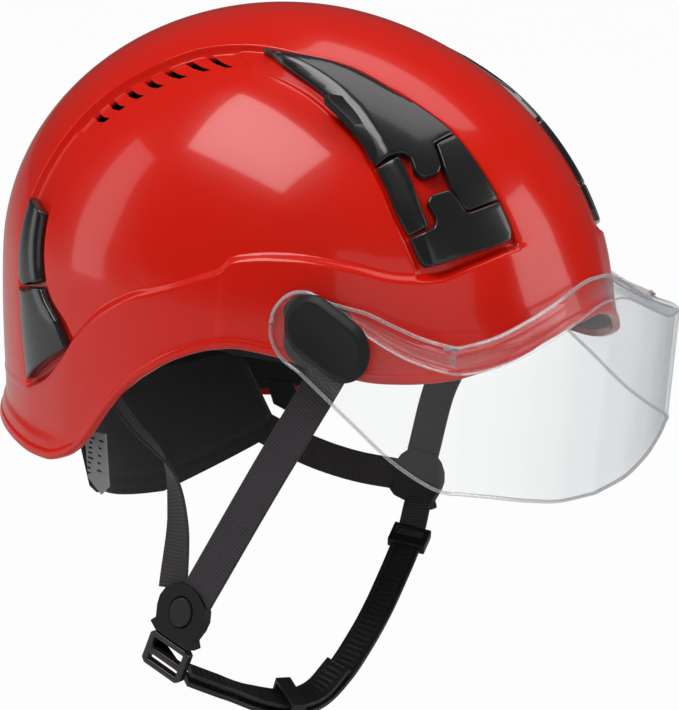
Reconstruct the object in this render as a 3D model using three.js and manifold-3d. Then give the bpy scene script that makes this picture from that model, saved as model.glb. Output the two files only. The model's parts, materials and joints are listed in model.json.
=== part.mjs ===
// Vented hard hat with a clear visor, foam liner, headband cradle, nape ratchet and chin harness.
// Millimetres. +X is the wearer's left, -Y the front, +Z up. Pieces are worked out with Z = 0 near
// the ear arches, then moved so the centre of the crown pad's underside is at 0, 0, 0.
import * as THREE from 'three';
import Module from 'manifold-3d';

// ---------------------------------------------------------------- driving dimensions
const DOME_Y = 14.4;                   // y of the dome's vertical centre line
const CROWN_PAD_Z = 78;
const ORIGIN = [0, DOME_Y, CROWN_PAD_Z];

// Base dome: half sizes from its centre, and superellipse exponents
const HALF_W = 106;
const FRONT = 149.1;
const REAR = 149.6;
const CROWN = 121.5;
const RISE_EXP = 1.9464;
const PLAN_EXP = 1.8773;

const INNER_DEPTH = 5.3;               // inner shell surface below the base dome
const CHANNEL_DEPTH = 2.5;
const CHANNEL_WALL = 1.1;              // width of the sloping channel walls
const SIDE_DROP = 0.4;                 // side panels below the base dome
const GAP = 0.35;                      // clearance between fitted parts

const VISOR_X = 98.6;                  // inner face of the visor arms
const VISOR_T = 2;
const HINGE = [VISOR_X, -60, 4];

// Tables by plan angle: degrees (-90 front, 0 side, 90 rear), then a height or an offset
const RIM = [                          // z of the shell's lower edge
  [-90, 8], [-82, 5.5], [-74, 0.5], [-67, -5.5], [-60, -10.5], [-54, -14], [-46, -16.3],
  [-40, -16.8], [-33, -15], [-27, -12.5], [-21, -10.5], [-16, -10], [-10.6, -12.9],
  [-5.2, -18.9], [0, -27], [3.3, -33.9], [6.3, -40.9], [9.5, -50], [12.8, -60.3],
  [16.4, -70], [21, -78], [27, -83], [35, -84.5], [50, -83], [70, -81], [90, -80],
];
const SKIRT = [                        // z of the skirt's upper edge
  [-90, 48], [-69, 43.5], [-58, 36.5], [-50, 30.5], [-43, 29.5], [-35, 31.8], [-26, 33.2],
  [-20, 32.2], [-14.5, 29.6], [-12.6, 27.8], [-11.2, 23.4], [-7.4, 18.8], [0, 10.5],
  [3.4, 7.6], [11.5, -4.3], [18.8, -20.8], [22.9, -32], [30, -46], [40, -54], [90, -58],
];
const SKIRT_STEP = [                   // skirt surface outside the base dome
  [-90, 0], [-76, 0.2], [-64, 2.2], [-12.6, 2.2], [-11.2, 1.5], [22, 1.5], [32, 0.7], [90, 0.5],
];
const BRIM_FLARE = [                   // extra outward flare at the rim
  [-90, 4.5], [-60, 3.2], [-36, 0.6], [-20, 0.2], [10, 0.4], [25, 1.6], [90, 2],
];
// Tables by chart angle: degrees (0 front, 90 crown, 180 rear), then |x|
const BAND = [                         // edge of the raised centre band
  [0, 33], [15, 33.2], [29, 33.3], [41, 33.6], [49, 36.4], [56, 38.4], [66, 40.4],
  [79, 46.2], [90, 48.4], [104, 52], [117, 58.2], [132, 64.2], [148, 71], [161, 74.5],
  [180, 77], [215, 80],
];
const SIDE = [                         // outer edge of the channel beside the band
  [0, 68], [18, 68.6], [29, 69], [36, 67.6], [42, 66.2], [49, 64], [58, 62.6], [70, 60.6],
  [86, 59.4], [99, 63.4], [111, 68.6], [123, 73], [134, 76.4], [145, 80], [161, 85.4],
  [173, 88.4], [186, 91.2], [198, 96], [215, 99],
];

// ---------------------------------------------------------------- maths helpers
const DEG = Math.PI / 180;
const TURN = 2 * Math.PI;
const X_AXIS = [1, 0, 0];
const Y_AXIS = [0, 1, 0];
const Z_AXIS = [0, 0, 1];
const clamp = (value, low, high) => Math.min(high, Math.max(low, value));
const mix = (from, to, share) => from + (to - from) * share;
const series = (count, make) => Array.from({ length: count }, (_, i) => make(i));
function smooth(value) {
  const t = clamp(value, 0, 1);
  return t * t * (3 - 2 * t);
}

const add = (a, b, scale = 1) => a.map((value, i) => value + b[i] * scale);
const sub = (a, b) => add(a, b, -1);
const dot = (a, b) => a[0] * b[0] + a[1] * b[1] + a[2] * b[2];
const cross = (a, b) => [
  a[1] * b[2] - a[2] * b[1],
  a[2] * b[0] - a[0] * b[2],
  a[0] * b[1] - a[1] * b[0],
];
function unit(vector) {
  const length = Math.hypot(...vector) || 1;
  return vector.map(value => value / length);
}
// Unit vector nearest to direction that is square to the unit vector axis
const squareTo = (direction, axis) => unit(add(direction, axis, -dot(direction, axis)));
const mirror = ([x, y, z]) => [-x, y, z];

// Smooth interpolation through a table (Catmull-Rom with limited slopes)
function lookup(table, x) {
  const last = table.length - 1;
  if (x <= table[0][0]) return table[0][1];
  if (x >= table[last][0]) return table[last][1];
  let i = 0;
  while (x > table[i + 1][0]) i++;
  const secant = j => (table[j + 1][1] - table[j][1]) / (table[j + 1][0] - table[j][0]);
  const slope = j => {
    if (j === 0) return secant(0);
    if (j === last) return secant(last - 1);
    const before = secant(j - 1);
    const after = secant(j);
    return before * after <= 0 ? 0 : 2 * before * after / (before + after);
  };
  const span = table[i + 1][0] - table[i][0];
  const t = (x - table[i][0]) / span;
  return (2 * t ** 3 - 3 * t * t + 1) * table[i][1] + (t ** 3 - 2 * t * t + t) * slope(i) * span
    + (-2 * t ** 3 + 3 * t * t) * table[i + 1][1] + (t ** 3 - t * t) * slope(i + 1) * span;
}

// Boundary between inside and outside, by repeated halving
function bisect(inside, outside, isOutside) {
  for (let k = 0; k < 50; k++) {
    const middle = (inside + outside) / 2;
    if (isOutside(middle)) outside = middle;
    else inside = middle;
  }
  return inside;
}

// ---------------------------------------------------------------- base dome
// The plan narrows slightly below z = 0, more towards the rear
const taper = (z, angle) => z >= 0 ? 1
  : 1 - 0.034 * smooth((angle + 5) / 25) * Math.min(1.3, (-z / 60) ** 1.6);
const planDepth = isFront => isFront ? FRONT : REAR;

// Point on the left half of the dome at a plan angle (deg) and height
function domeAt(angle, z) {
  const cos = Math.cos(angle * DEG);
  const sin = Math.sin(angle * DEG);
  const rise = z > 0 ? (1 - (z / CROWN) ** RISE_EXP) ** (1 / RISE_EXP) : 1;
  const radius = (Math.abs(cos) ** PLAN_EXP + Math.abs(sin) ** PLAN_EXP) ** (-1 / PLAN_EXP);
  const scale = radius * rise * taper(z, angle);
  return [HALF_W * cos * scale, planDepth(sin < 0) * sin * scale + DOME_Y, z];
}
const planAngle = ([x, y]) =>
  Math.atan2((y - DOME_Y) / planDepth(y < DOME_Y), Math.abs(x) / HALF_W) / DEG;

// Negative inside the dome, positive outside
function level(point) {
  const [x, y, z] = point;
  const narrow = taper(z, planAngle(point));
  const across = Math.abs(x) / HALF_W / narrow;
  const along = Math.abs(y - DOME_Y) / planDepth(y < DOME_Y) / narrow;
  const radius = (across ** PLAN_EXP + along ** PLAN_EXP) ** (1 / PLAN_EXP);
  return z > 0 ? radius ** RISE_EXP + (z / CROWN) ** RISE_EXP - 1 : radius - 1;
}
function normal(point) {
  const step = 0.05;
  return unit([X_AXIS, Y_AXIS, Z_AXIS].map(axis =>
    level(add(point, axis, step)) - level(add(point, axis, -step))));
}
const raise = (point, distance) => add(point, normal(point), distance);

// Chart: dome point at a given x, at an angle (deg) round an axis parallel to X. Axes are [y, z].
const POLE = [20, 8.4];                // axis for the shell's columns
const CENTRE = [DOME_Y, 0];            // axis for the edge tables
function chart(x, angle, axis) {
  const at = radius => [
    x,
    axis[0] - Math.cos(angle * DEG) * radius,
    axis[1] + Math.sin(angle * DEG) * radius,
  ];
  return at(bisect(0, 220, radius => level(at(radius)) > 0));
}
function centreAngle([, y, z]) {
  const angle = Math.atan2(z, -(y - DOME_Y)) / DEG;
  return angle < -60 ? angle + 360 : angle;
}

// ---------------------------------------------------------------- mesh helpers
const MERGE_PER_MM = 2000;             // vertices that round to the same 1/2000 mm are merged
class Mesh {
  constructor() {
    this.vertices = [];
    this.faces = [];
    this.known = new Map();
  }
  vertex(point) {
    const key = point.map(value => Math.round(value * MERGE_PER_MM)).join(',');
    if (!this.known.has(key)) {
      this.known.set(key, this.vertices.length);
      this.vertices.push(point);
    }
    return this.known.get(key);
  }
  tri(...points) {
    const [i, j, k] = points.map(point => this.vertex(point));
    if (i !== j && j !== k && k !== i) this.faces.push([i, j, k]);
  }
  quad(a, b, c, d) {
    this.tri(a, b, c);
    this.tri(a, c, d);
  }
  addFaces(other, { move = point => point, reversed = false } = {}) {
    for (const face of other.faces) {
      const [a, b, c] = face.map(i => move(other.vertices[i]));
      if (reversed) this.tri(a, c, b);
      else this.tri(a, b, c);
    }
  }
  // Makes the faces point outwards
  orient() {
    let volume = 0;
    for (const face of this.faces) {
      const [a, b, c] = face.map(i => this.vertices[i]);
      volume += dot(a, cross(b, c)) / 6;
    }
    if (volume < 0) this.faces = this.faces.map(([a, b, c]) => [a, c, b]);
    return this;
  }
}

function flipX(mesh) {
  const flipped = new Mesh();
  flipped.addFaces(mesh, { move: mirror, reversed: true });
  return flipped.orient();
}

// Solid through closed rings of equal length, capped at both ends
function loft(rings) {
  const mesh = new Mesh();
  const count = rings[0].length;
  for (let j = 0; j < rings.length - 1; j++) {
    for (let i = 0; i < count; i++) {
      const next = (i + 1) % count;
      mesh.quad(rings[j][i], rings[j][next], rings[j + 1][next], rings[j + 1][i]);
    }
  }
  const first = rings[0];
  const last = rings[rings.length - 1];
  for (let i = 1; i < count - 1; i++) mesh.tri(first[0], first[i + 1], first[i]);
  for (let i = 1; i < count - 1; i++) mesh.tri(last[0], last[i], last[i + 1]);
  return mesh.orient();
}

// Strip of rectangular section. Width and its direction `across` may be functions of the station.
function ribbon(centres, width, thickness, across) {
  const valueAt = (value, i) => typeof value === 'function' ? value(i) : value;
  return loft(centres.map((centre, i) => {
    const before = centres[Math.max(0, i - 1)];
    const after = centres[Math.min(centres.length - 1, i + 1)];
    const along = unit(sub(after, before));
    const side = squareTo(valueAt(across, i), along);
    const face = cross(along, side);
    return [[1, 1], [-1, 1], [-1, -1], [1, -1]].map(([sideSign, faceSign]) =>
      add(add(centre, side, sideSign * valueAt(width, i) / 2), face, faceSign * thickness / 2));
  }));
}

// Solid between two open grids of points [row][column]
function sheet(outer, inner) {
  const mesh = new Mesh();
  const lastRow = outer.length - 1;
  const lastCol = outer[0].length - 1;
  for (let j = 0; j < lastRow; j++) {
    for (let i = 0; i < lastCol; i++) {
      mesh.quad(outer[j][i], outer[j][i + 1], outer[j + 1][i + 1], outer[j + 1][i]);
      mesh.quad(inner[j][i], inner[j + 1][i], inner[j + 1][i + 1], inner[j][i + 1]);
    }
  }
  for (let i = 0; i < lastCol; i++) {
    const [outTop, inTop] = [outer[lastRow], inner[lastRow]];
    mesh.quad(outer[0][i], inner[0][i], inner[0][i + 1], outer[0][i + 1]);
    mesh.quad(outTop[i], outTop[i + 1], inTop[i + 1], inTop[i]);
  }
  for (let j = 0; j < lastRow; j++) {
    const [out, outNext, inn, innNext] = [outer[j], outer[j + 1], inner[j], inner[j + 1]];
    mesh.quad(out[0], outNext[0], innNext[0], inn[0]);
    mesh.quad(out[lastCol], inn[lastCol], innNext[lastCol], outNext[lastCol]);
  }
  return mesh.orient();
}

// Solid between two open-bottomed surfaces { mesh, rim }, joined along their rims
function joinAtRim(outer, inner) {
  const joined = new Mesh();
  joined.addFaces(outer.mesh);
  joined.addFaces(inner.mesh, { reversed: true });
  outer.rim.forEach((point, i) => {
    const next = (i + 1) % outer.rim.length;
    joined.quad(point, inner.rim[i], inner.rim[next], outer.rim[next]);
  });
  return joined.orient();
}

// Prism of a 2D outline in a frame { at, right, up }, between two heights along right x up
function prism(outline, { at, right, up }, from, to) {
  let area = 0;
  outline.forEach(([x, y], i) => {
    const next = outline[(i + 1) % outline.length];
    area += x * next[1] - y * next[0];
  });
  const points = area < 0 ? outline.slice().reverse() : outline;
  const axis = unit(cross(right, up));
  const place = height => points.map(([x, y]) =>
    add(add(add(at, right, x), up, y), axis, height));
  const low = place(from);
  const high = place(to);
  const mesh = new Mesh();
  const shape = points.map(([x, y]) => new THREE.Vector2(x, y));
  for (const [i, j, k] of THREE.ShapeUtils.triangulateShape(shape, [])) {
    mesh.tri(high[i], high[j], high[k]);
    mesh.tri(low[i], low[k], low[j]);
  }
  for (let i = 0; i < points.length; i++) {
    const next = (i + 1) % points.length;
    mesh.quad(low[i], low[next], high[next], high[i]);
  }
  return mesh.orient();
}
const sideFrame = at => ({ at, right: Y_AXIS, up: Z_AXIS });   // prism axis along +X

const polar = (radius, angle) => [radius * Math.cos(angle), radius * Math.sin(angle)];
const circle = (radius, count) => series(count, i => polar(radius, TURN * i / count));
const rect = (x0, y0, x1, y1) => [[x0, y0], [x1, y0], [x1, y1], [x0, y1]];
const centredRect = (width, height) => rect(-width / 2, -height / 2, width / 2, height / 2);

// Evenly spaced points on a smooth curve through the given points
function through(points, steps) {
  const vectors = points.map(point => new THREE.Vector3(...point));
  const path = new THREE.CatmullRomCurve3(vectors, false, 'centripetal');
  return path.getSpacedPoints(steps).map(({ x, y, z }) => [x, y, z]);
}

const wasm = await Module();
wasm.setup();
const toSolid = mesh => new wasm.Manifold(new wasm.Mesh({
  numProp: 3,
  vertProperties: new Float32Array(mesh.vertices.flat()),
  triVerts: new Uint32Array(mesh.faces.flat()),
}));
function fromSolid(solid) {
  const { vertProperties, triVerts, numProp } = solid.getMesh();
  const mesh = new Mesh();
  const point = i => [...vertProperties.subarray(i * numProp, i * numProp + 3)];
  for (let t = 0; t < triVerts.length; t += 3) {
    mesh.tri(point(triVerts[t]), point(triVerts[t + 1]), point(triVerts[t + 2]));
  }
  return mesh;
}
const subtract = (...meshes) => fromSolid(wasm.Manifold.difference(meshes.map(toSolid)));
const unite = (...meshes) => fromSolid(wasm.Manifold.union(meshes.map(toSolid)));

// ---------------------------------------------------------------- materials and group
const FINISHES = {
  shell_red: { color: 0xc81405, roughness: 0.18 },
  gloss_black: { color: 0x101012, roughness: 0.25 },
  matte_black: { color: 0x1b1b1d, roughness: 0.6 },
  foam_black: { color: 0x202022, roughness: 0.9 },
  clear: { color: 0xdfe9ee, roughness: 0.05, transparent: true, opacity: 0.35 },
  webbing: { color: 0x322e32, roughness: 0.9 },
  rubber_black: { color: 0x161616, roughness: 0.75 },
  steel: { color: 0xb8bcc0, roughness: 0.35, metalness: 1 },
  scale_grey: { color: 0x8a8d90, roughness: 0.5 },
  pad_fabric: { color: 0x262428, roughness: 0.95 },
};
const group = new THREE.Group();
group.name = 'hard_hat';

function put(name, mesh, finish) {
  const geometry = new THREE.BufferGeometry();
  const positions = new Float32Array(mesh.vertices.flatMap(point => sub(point, ORIGIN)));
  geometry.setAttribute('position', new THREE.BufferAttribute(positions, 3));
  geometry.setIndex(mesh.faces.flat());
  const material = new THREE.MeshStandardMaterial({ metalness: 0, ...FINISHES[finish] });
  material.name = finish;
  const piece = new THREE.Mesh(geometry, material);
  piece.name = name;
  group.add(piece);
}
// A left-hand piece and its mirror image
function putPair(name, mesh, finish) {
  put(name + '_L', mesh, finish);
  put(name + '_R', flipX(mesh), finish);
}

// ---------------------------------------------------------------- shell
// A shell node is { point on the base dome, outer offset, inner offset }.
const BAND_COLUMNS = [0, 0.36, 0.72];              // shares of the band's half width
const SIDE_COLUMNS = [0.3, 0.56, 0.78, 0.93];      // shares of the way from channel to pole
const CHANNEL_COLUMNS = 5;
const POLE_COLUMN = BAND_COLUMNS.length + CHANNEL_COLUMNS + SIDE_COLUMNS.length;
const POLE_X = bisect(60, 130, x => level([x, ...POLE]) > 0);
const ROWS = 22;
const SKIRT_ROWS = [1.3, 4.8, 6.2];                // depths below the skirt line
const RIM_WALL = 3;
const RIM_ROUND = 0.9;                             // outer surface drawn in at the rim
const SLOT_ANGLES = [98.9, 104.9, 111.1, 117.2, 123.1, 128.9, 134.3];
const SLOT_LENGTH = 11;
const SLOT_WIDTH = 3.2;

// [|x|, outer offset] of a column at an angle round the dome centre
function columnAt(i, angle) {
  const band = lookup(BAND, angle);
  const side = lookup(SIDE, angle);
  const columns = [
    ...BAND_COLUMNS.map(share => [band * share, 0]),
    [band - 0.4, 0],
    [band + CHANNEL_WALL, -CHANNEL_DEPTH],
    [(band + side) / 2, -CHANNEL_DEPTH],
    [side - CHANNEL_WALL, -CHANNEL_DEPTH],
    [side + 0.5, -SIDE_DROP],
    ...SIDE_COLUMNS.map(share => [mix(side + 0.5, POLE_X, share), -SIDE_DROP]),
  ];
  return columns[i];
}
// Columns are angled about POLE but the edge tables about CENTRE, so the two are matched by
// repetition.
function upperNode(i, angle) {
  let tableAngle = angle;
  let node;
  for (let k = 0; k < 5; k++) {
    const [x, outer] = columnAt(i, tableAngle);
    node = { point: chart(x, angle, POLE), outer, inner: -INNER_DEPTH };
    tableAngle = centreAngle(node.point);
  }
  return node;
}
// Chart angle at which a column meets the skirt line, searching from the crown
const endAngle = (i, farAngle) => bisect(90, farAngle, angle => {
  const { point } = upperNode(i, angle);
  return point[2] < lookup(SKIRT, planAngle(point));
});
function upperColumn(i) {
  if (i === POLE_COLUMN) {
    const pole = { point: [POLE_X, ...POLE], outer: -SIDE_DROP, inner: -INNER_DEPTH };
    return series(ROWS + 1, () => pole);
  }
  const front = endAngle(i, -50);
  const rear = endAngle(i, 250);
  return series(ROWS + 1, j => upperNode(i, front + (rear - front) * j / ROWS));
}

// Nodes from just below a skirt-line node down to the rim
function lowerNodes(top) {
  const angle = planAngle(top.point);
  const skirtZ = top.point[2];
  const rimZ = lookup(RIM, angle);
  const step = lookup(SKIRT_STEP, angle);
  const flare = lookup(BRIM_FLARE, angle);
  const heights = SKIRT_ROWS.map(depth => skirtZ - depth);
  const left = heights[heights.length - 1] - rimZ;
  heights.push(rimZ + left * 0.62, rimZ + left * 0.3, rimZ + 1.2, rimZ);
  return heights.map((z, k) => {
    const point = domeAt(angle, z);
    const stepped = mix(top.outer, step, smooth((skirtZ - z - 0.6) / 4));
    const nearRim = clamp(1 - (z - rimZ) / 26, 0, 1);
    const round = k === heights.length - 1 ? RIM_ROUND : 0;
    return {
      point: top.point[0] < 0 ? mirror(point) : point,
      outer: stepped + flare * nearRim * nearRim - round,
      inner: mix(-INNER_DEPTH, step + flare - RIM_WALL, smooth(1 - (z - rimZ) / 30)),
    };
  });
}

// Columns of nodes from the right pole to the left pole, then a ring of columns down to the rim
const leftColumns = series(POLE_COLUMN + 1, upperColumn);
const rightColumns = leftColumns.slice(1).reverse().map(column =>
  column.map(node => ({ ...node, point: mirror(node.point) })));
const upperColumns = [...rightColumns, ...leftColumns];
const skirtRing = [
  ...upperColumns.map(column => column[0]),
  ...upperColumns.slice(1, -1).reverse().map(column => column[ROWS]),
];
const lowerColumns = skirtRing.map(node => [node, ...lowerNodes(node)]);

// The shell's 'outer' or 'inner' surface, open at the rim
function shellSurface(side) {
  const mesh = new Mesh();
  const place = column => column.map(node => raise(node.point, node[side]));
  const upper = upperColumns.map(place);
  for (let i = 0; i < upper.length - 1; i++) {
    for (let j = 0; j < ROWS; j++) {
      mesh.quad(upper[i][j], upper[i + 1][j], upper[i + 1][j + 1], upper[i][j + 1]);
    }
  }
  const lower = lowerColumns.map(place);
  lower.forEach((column, i) => {
    const next = lower[(i + 1) % lower.length];
    for (let k = 0; k < column.length - 1; k++) {
      mesh.quad(column[k], column[k + 1], next[k + 1], next[k]);
    }
  });
  return { mesh, rim: lower.map(column => column[column.length - 1]) };
}
const outerSurface = shellSurface('outer');

// Slots through the channel floor, on both sides
function addShell() {
  const slots = SLOT_ANGLES.flatMap(angle => {
    const at = chart((lookup(BAND, angle) + lookup(SIDE, angle)) / 2, angle, CENTRE);
    const out = normal(at);
    const right = squareTo(X_AXIS, out);
    const frame = { at, right, up: cross(out, right) };
    const slot = prism(centredRect(SLOT_LENGTH, SLOT_WIDTH), frame, -14, 6);
    return [slot, flipX(slot)];
  });
  const body = joinAtRim(outerSurface, shellSurface('inner'));
  put('shell', subtract(body, ...slots), 'shell_red');
}

// Solid outer form of the shell, grown outwards by a distance
function grownShell(distance) {
  const mesh = new Mesh();
  const grow = point => raise(point, distance);
  mesh.addFaces(outerSurface.mesh, { move: grow });
  const rim = outerSurface.rim.map(grow);
  const middle = [0, 1, 2].map(i => rim.reduce((sum, point) => sum + point[i], 0) / rim.length);
  rim.forEach((point, i) => mesh.tri(middle, rim[(i + 1) % rim.length], point));
  return mesh.orient();
}

// ---------------------------------------------------------------- liner
const LINER_DEPTH = INNER_DEPTH + 2.1;             // outer surface below the base dome
const LINER_INNER_DEPTH = INNER_DEPTH + 12.4;
const LINER_SIDES = 32;
const LINER_ROWS = 7;

function linerSurface(depth) {
  const ringAt = row => series(LINER_SIDES, i => {
    const around = i / LINER_SIDES * 360 - 180;
    const isRight = Math.abs(around) > 90;
    const angle = isRight ? (around < 0 ? -180 : 180) - around : around;
    const lowZ = Math.max(lookup(RIM, angle) + 22, -22);
    const z = lowZ + (CROWN - lowZ) * Math.cos(row / LINER_ROWS * Math.PI / 2);
    const point = domeAt(angle, z);
    return raise(isRight ? mirror(point) : point, -depth);
  });
  const rings = series(LINER_ROWS, k => ringAt(k + 1));
  const top = [0, DOME_Y, CROWN - depth];
  const mesh = new Mesh();
  for (let k = 0; k < LINER_ROWS - 1; k++) {
    const [upper, lower] = [rings[k], rings[k + 1]];
    for (let i = 0; i < LINER_SIDES; i++) {
      const next = (i + 1) % LINER_SIDES;
      mesh.quad(upper[i], lower[i], lower[next], upper[next]);
    }
  }
  rings[0].forEach((point, i) => mesh.tri(top, point, rings[0][(i + 1) % LINER_SIDES]));
  return { mesh, rim: rings[LINER_ROWS - 1] };
}
const addLiner = () =>
  put('liner', joinAtRim(linerSurface(LINER_DEPTH), linerSurface(LINER_INNER_DEPTH)), 'foam_black');

// ---------------------------------------------------------------- vent covers
const COVER_FLOOR = GAP - CHANNEL_DEPTH;
const COVER_INSET = CHANNEL_WALL + 0.55;           // from the channel's edges
const TIP_START = 62;                              // chart angle where the front blade narrows
const TIP_SPAN = 24;

const coverInner = angle => lookup(BAND, angle) + COVER_INSET;
const coverOuter = angle => lookup(SIDE, angle) - COVER_INSET;
// Height over the base dome at a share of the cover's width
const coverHeight = share => 0.9 + 1.9 * Math.sin(Math.PI * clamp(share, 0.06, 0.94));

// Cover between two |x| curves, over a range of chart angles
function cover({ from, to, rows, columns, inner = coverInner, outer = coverOuter,
  height = coverHeight }) {
  const grid = series(rows + 1, j => {
    const angle = from + (to - from) * j / rows;
    return series(columns + 1, i =>
      chart(mix(inner(angle), outer(angle), i / columns), angle, CENTRE));
  });
  const top = grid.map(row => row.map((point, i) => raise(point, height(i / columns))));
  const bottom = grid.map(row => row.map(point => raise(point, COVER_FLOOR)));
  return sheet(top, bottom);
}

function addFrontVents() {
  const narrowing = angle => smooth((angle - TIP_START) / TIP_SPAN);
  putPair('front_vent_blade', cover({
    from: 43.2, to: 84, rows: 8, columns: 3,
    inner: angle => coverInner(angle) + 0.9 * narrowing(angle),
    outer: angle => mix(coverOuter(angle), coverInner(angle) + 2.2, narrowing(angle)),
  }), 'gloss_black');
  putPair('front_vent_block', cover({
    from: 25.2, to: 42.6, rows: 3, columns: 2,
    outer: () => 47.8,
    height: share => coverHeight(share * 0.5),
  }), 'gloss_black');
  const outerPart = cover({
    from: 24.2, to: 42.6, rows: 4, columns: 2,
    inner: angle => 56.8 - (angle - 26) * 0.06 + 0.9,
    height: share => coverHeight(0.55 + share * 0.45),
  });
  const lowerBar = cover({
    from: 19.6, to: 24.6, rows: 1, columns: 3,
    height: share => coverHeight(share) - 0.2,
  });
  putPair('front_vent_clip', unite(outerPart, lowerBar), 'gloss_black');
}

// Low fin on the outer edge of each front blade
function addHeadlampClips() {
  const angle = 57.5;
  const edge = coverOuter(angle);
  const at = raise(chart(edge - 2, angle, CENTRE), coverHeight(0.9) + 0.4);
  const out = normal(chart(edge, angle, CENTRE));
  const right = unit(cross(X_AXIS, out));
  const outline = [[-9, -1.2], [10, -1.2], [12, 0.6], [12, 2.2], [-9, 1.4]];
  const fin = prism(outline, { at, right, up: unit(cross(out, right)) }, -0.2, 2.2);
  putPair('headlamp_clip', fin, 'gloss_black');
}

function addRearVents() {
  const blade = cover({ from: 162, to: 186, rows: 5, columns: 3 });
  putPair('rear_vent_blade', blade, 'gloss_black');
  putPair('rear_vent_clip', cover({ from: 187, to: 208, rows: 4, columns: 3 }), 'gloss_black');
}

// ---------------------------------------------------------------- visor
// Left half, arm end to front: x, y, top z, bottom z, inward reach of the brow flange
const LENS = [
  [VISOR_X, -44, 14, -6, 0],
  [VISOR_X, -60, 24, -16, 0],
  [VISOR_X, -76, 16, -22, 4.4],
  [98, -92, 8, -32, 9.6],
  [97, -108, 5, -42, 12.6],
  [95.4, -124, 7, -50, 15],
  [86, -128.6, 8.5, -54, 14],
  [70, -134.6, 11, -58, 12.6],
  [50, -139.4, 14.6, -61.5, 11],
  [26, -142.4, 17.6, -64, 9.2],
  [0, -143.4, 18.6, -64.6, 8.6],
];
const LENS_FRONT = LENS.length - 1;

// Outward direction in plan, square to the lens path
function lensOutward(i) {
  if (i === LENS_FRONT) return [0, -1];
  const [x, y] = LENS[i];
  const before = LENS[Math.max(0, i - 1)];
  const after = LENS[i + 1];
  const run = [after[0] - before[0], after[1] - before[1]];
  const length = Math.hypot(...run);
  const side = [run[1] / length, -run[0] / length];
  return side[0] * x + side[1] * (y + 20) > 0 ? side : [-side[0], -side[1]];
}

function addVisor() {
  const station = (i, sign) => {
    const [x, y, topZ, bottomZ, flange] = LENS[i];
    const out = lensOutward(i);
    const place = (distance, z) => [sign * (x + out[0] * distance), y + out[1] * distance, z];
    const wall = [[0, bottomZ], [0, mix(bottomZ, topZ, 0.5)], [0, topZ - 3]];
    const brow = [[-flange * 0.35, topZ + flange * 0.14], [-flange, topZ + flange * 0.5]];
    return {
      outer: [...wall, ...brow].map(([distance, z]) => place(distance + VISOR_T, z)),
      inner: [
        ...wall.map(([distance, z]) => place(distance, z)),
        ...brow.map(([distance, z]) => place(distance + VISOR_T * 0.5, z - VISOR_T * 0.85)),
      ],
    };
  };
  const stations = [
    ...series(LENS.length, i => station(i, -1)),
    ...series(LENS_FRONT, i => station(LENS_FRONT - 1 - i, 1)),
  ];
  const lens = sheet(stations.map(({ outer }) => outer), stations.map(({ inner }) => inner));
  const holes = [1, -1].map(sign => {
    const at = [sign * (VISOR_X + VISOR_T / 2), HINGE[1], HINGE[2]];
    return prism(circle(4.2, 20), sideFrame(at), -6, 6);
  });
  put('visor', subtract(lens, ...holes), 'clear');
}

// Heights in the pivots are along X from the visor's inner face
const pivotDisc = (radius, sides, from, to) =>
  prism(circle(radius, sides), sideFrame(HINGE), from, to);

// Boss shaped to stand just clear of the shell
function addPivotBases() {
  const boss = pivotDisc(12, 28, -26, -GAP);
  const bore = pivotDisc(3.4, 20, -30, 4);
  putPair('pivot_base', subtract(boss, grownShell(GAP + 0.15), bore), 'matte_black');
}

function addPivotScrews() {
  const top = VISOR_T + 2.4;
  const shank = pivotDisc(3, 20, -3.6, top);
  const head = pivotDisc(3.8, 20, VISOR_T + 0.9, top);
  putPair('pivot_screw', unite(shank, head), 'steel');
}

// Tilted stadium-shaped cap, hollow under the middle
function addPivotCaps() {
  const tilt = -32 * DEG;
  const endRadius = 13.5;
  const ends = [[8, -Math.PI / 2], [-8, Math.PI / 2]];     // centre, start angle
  const stadium = ends.flatMap(([centre, start]) => series(13, i => {
    const [x, y] = polar(endRadius, start + Math.PI * i / 12);
    return [centre + x, y];
  }));
  const levels = [[0.35, 1], [4.6, 1], [6, 0.88]];         // height over the visor, scale
  const body = loft(levels.map(([height, scale]) => stadium.map(([x, y]) => add(HINGE, [
    VISOR_T + height,
    -(x * Math.cos(tilt) - y * Math.sin(tilt)) * scale - 3,
    (x * Math.sin(tilt) + y * Math.cos(tilt)) * scale - 2,
  ]))));
  const hollow = pivotDisc(9.6, 24, 0, VISOR_T + 2.9);
  putPair('pivot_cap', subtract(body, hollow), 'matte_black');
}

// ---------------------------------------------------------------- headband and crown cradle
const BROW_Z = -8;                     // headband centre height at the front
const STRAP_FOOT_Z = 12.4;
const CLIP_ANGLES = [-128, -52, -180, 0, 142, 38];
const CROWN_STRAPS = [                 // name, plan angles of the two ends, top z
  ['mid', -180, 0, 85.4],
  ['front', -128, 38, 87.6],
  ['rear', -52, 142, 89.8],
];

// Point on the headband's oval; angle in degrees (-90 front, 0 left)
function bandPoint(angle, z, outward = 0) {
  const sin = Math.sin(angle * DEG);
  const depth = (sin < 0 ? 99 : 96) + outward;
  return [(77 + outward) * Math.cos(angle * DEG), 8 + depth * sin, z];
}

function addHeadband() {
  const centres = series(41, i => {
    const angle = -232 + 284 * i / 40;
    const behind = Math.max(angle, -180 - angle, 0);       // degrees behind the side
    return bandPoint(angle, BROW_Z - 34 * smooth(behind / 60));
  });
  put('headband', ribbon(centres, 24, 1.8, Z_AXIS), 'matte_black');
  const brow = series(15, i => bandPoint(-150 + 120 * i / 14, BROW_Z, -4.4));
  put('brow_pad', ribbon(brow, 22, 5, Z_AXIS), 'pad_fabric');
}

function addCrownPad() {
  const frame = { at: ORIGIN, right: X_AXIS, up: Y_AXIS };
  put('crown_pad', prism(circle(24, 24), frame, 0, 3.2), 'pad_fabric');
}

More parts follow.
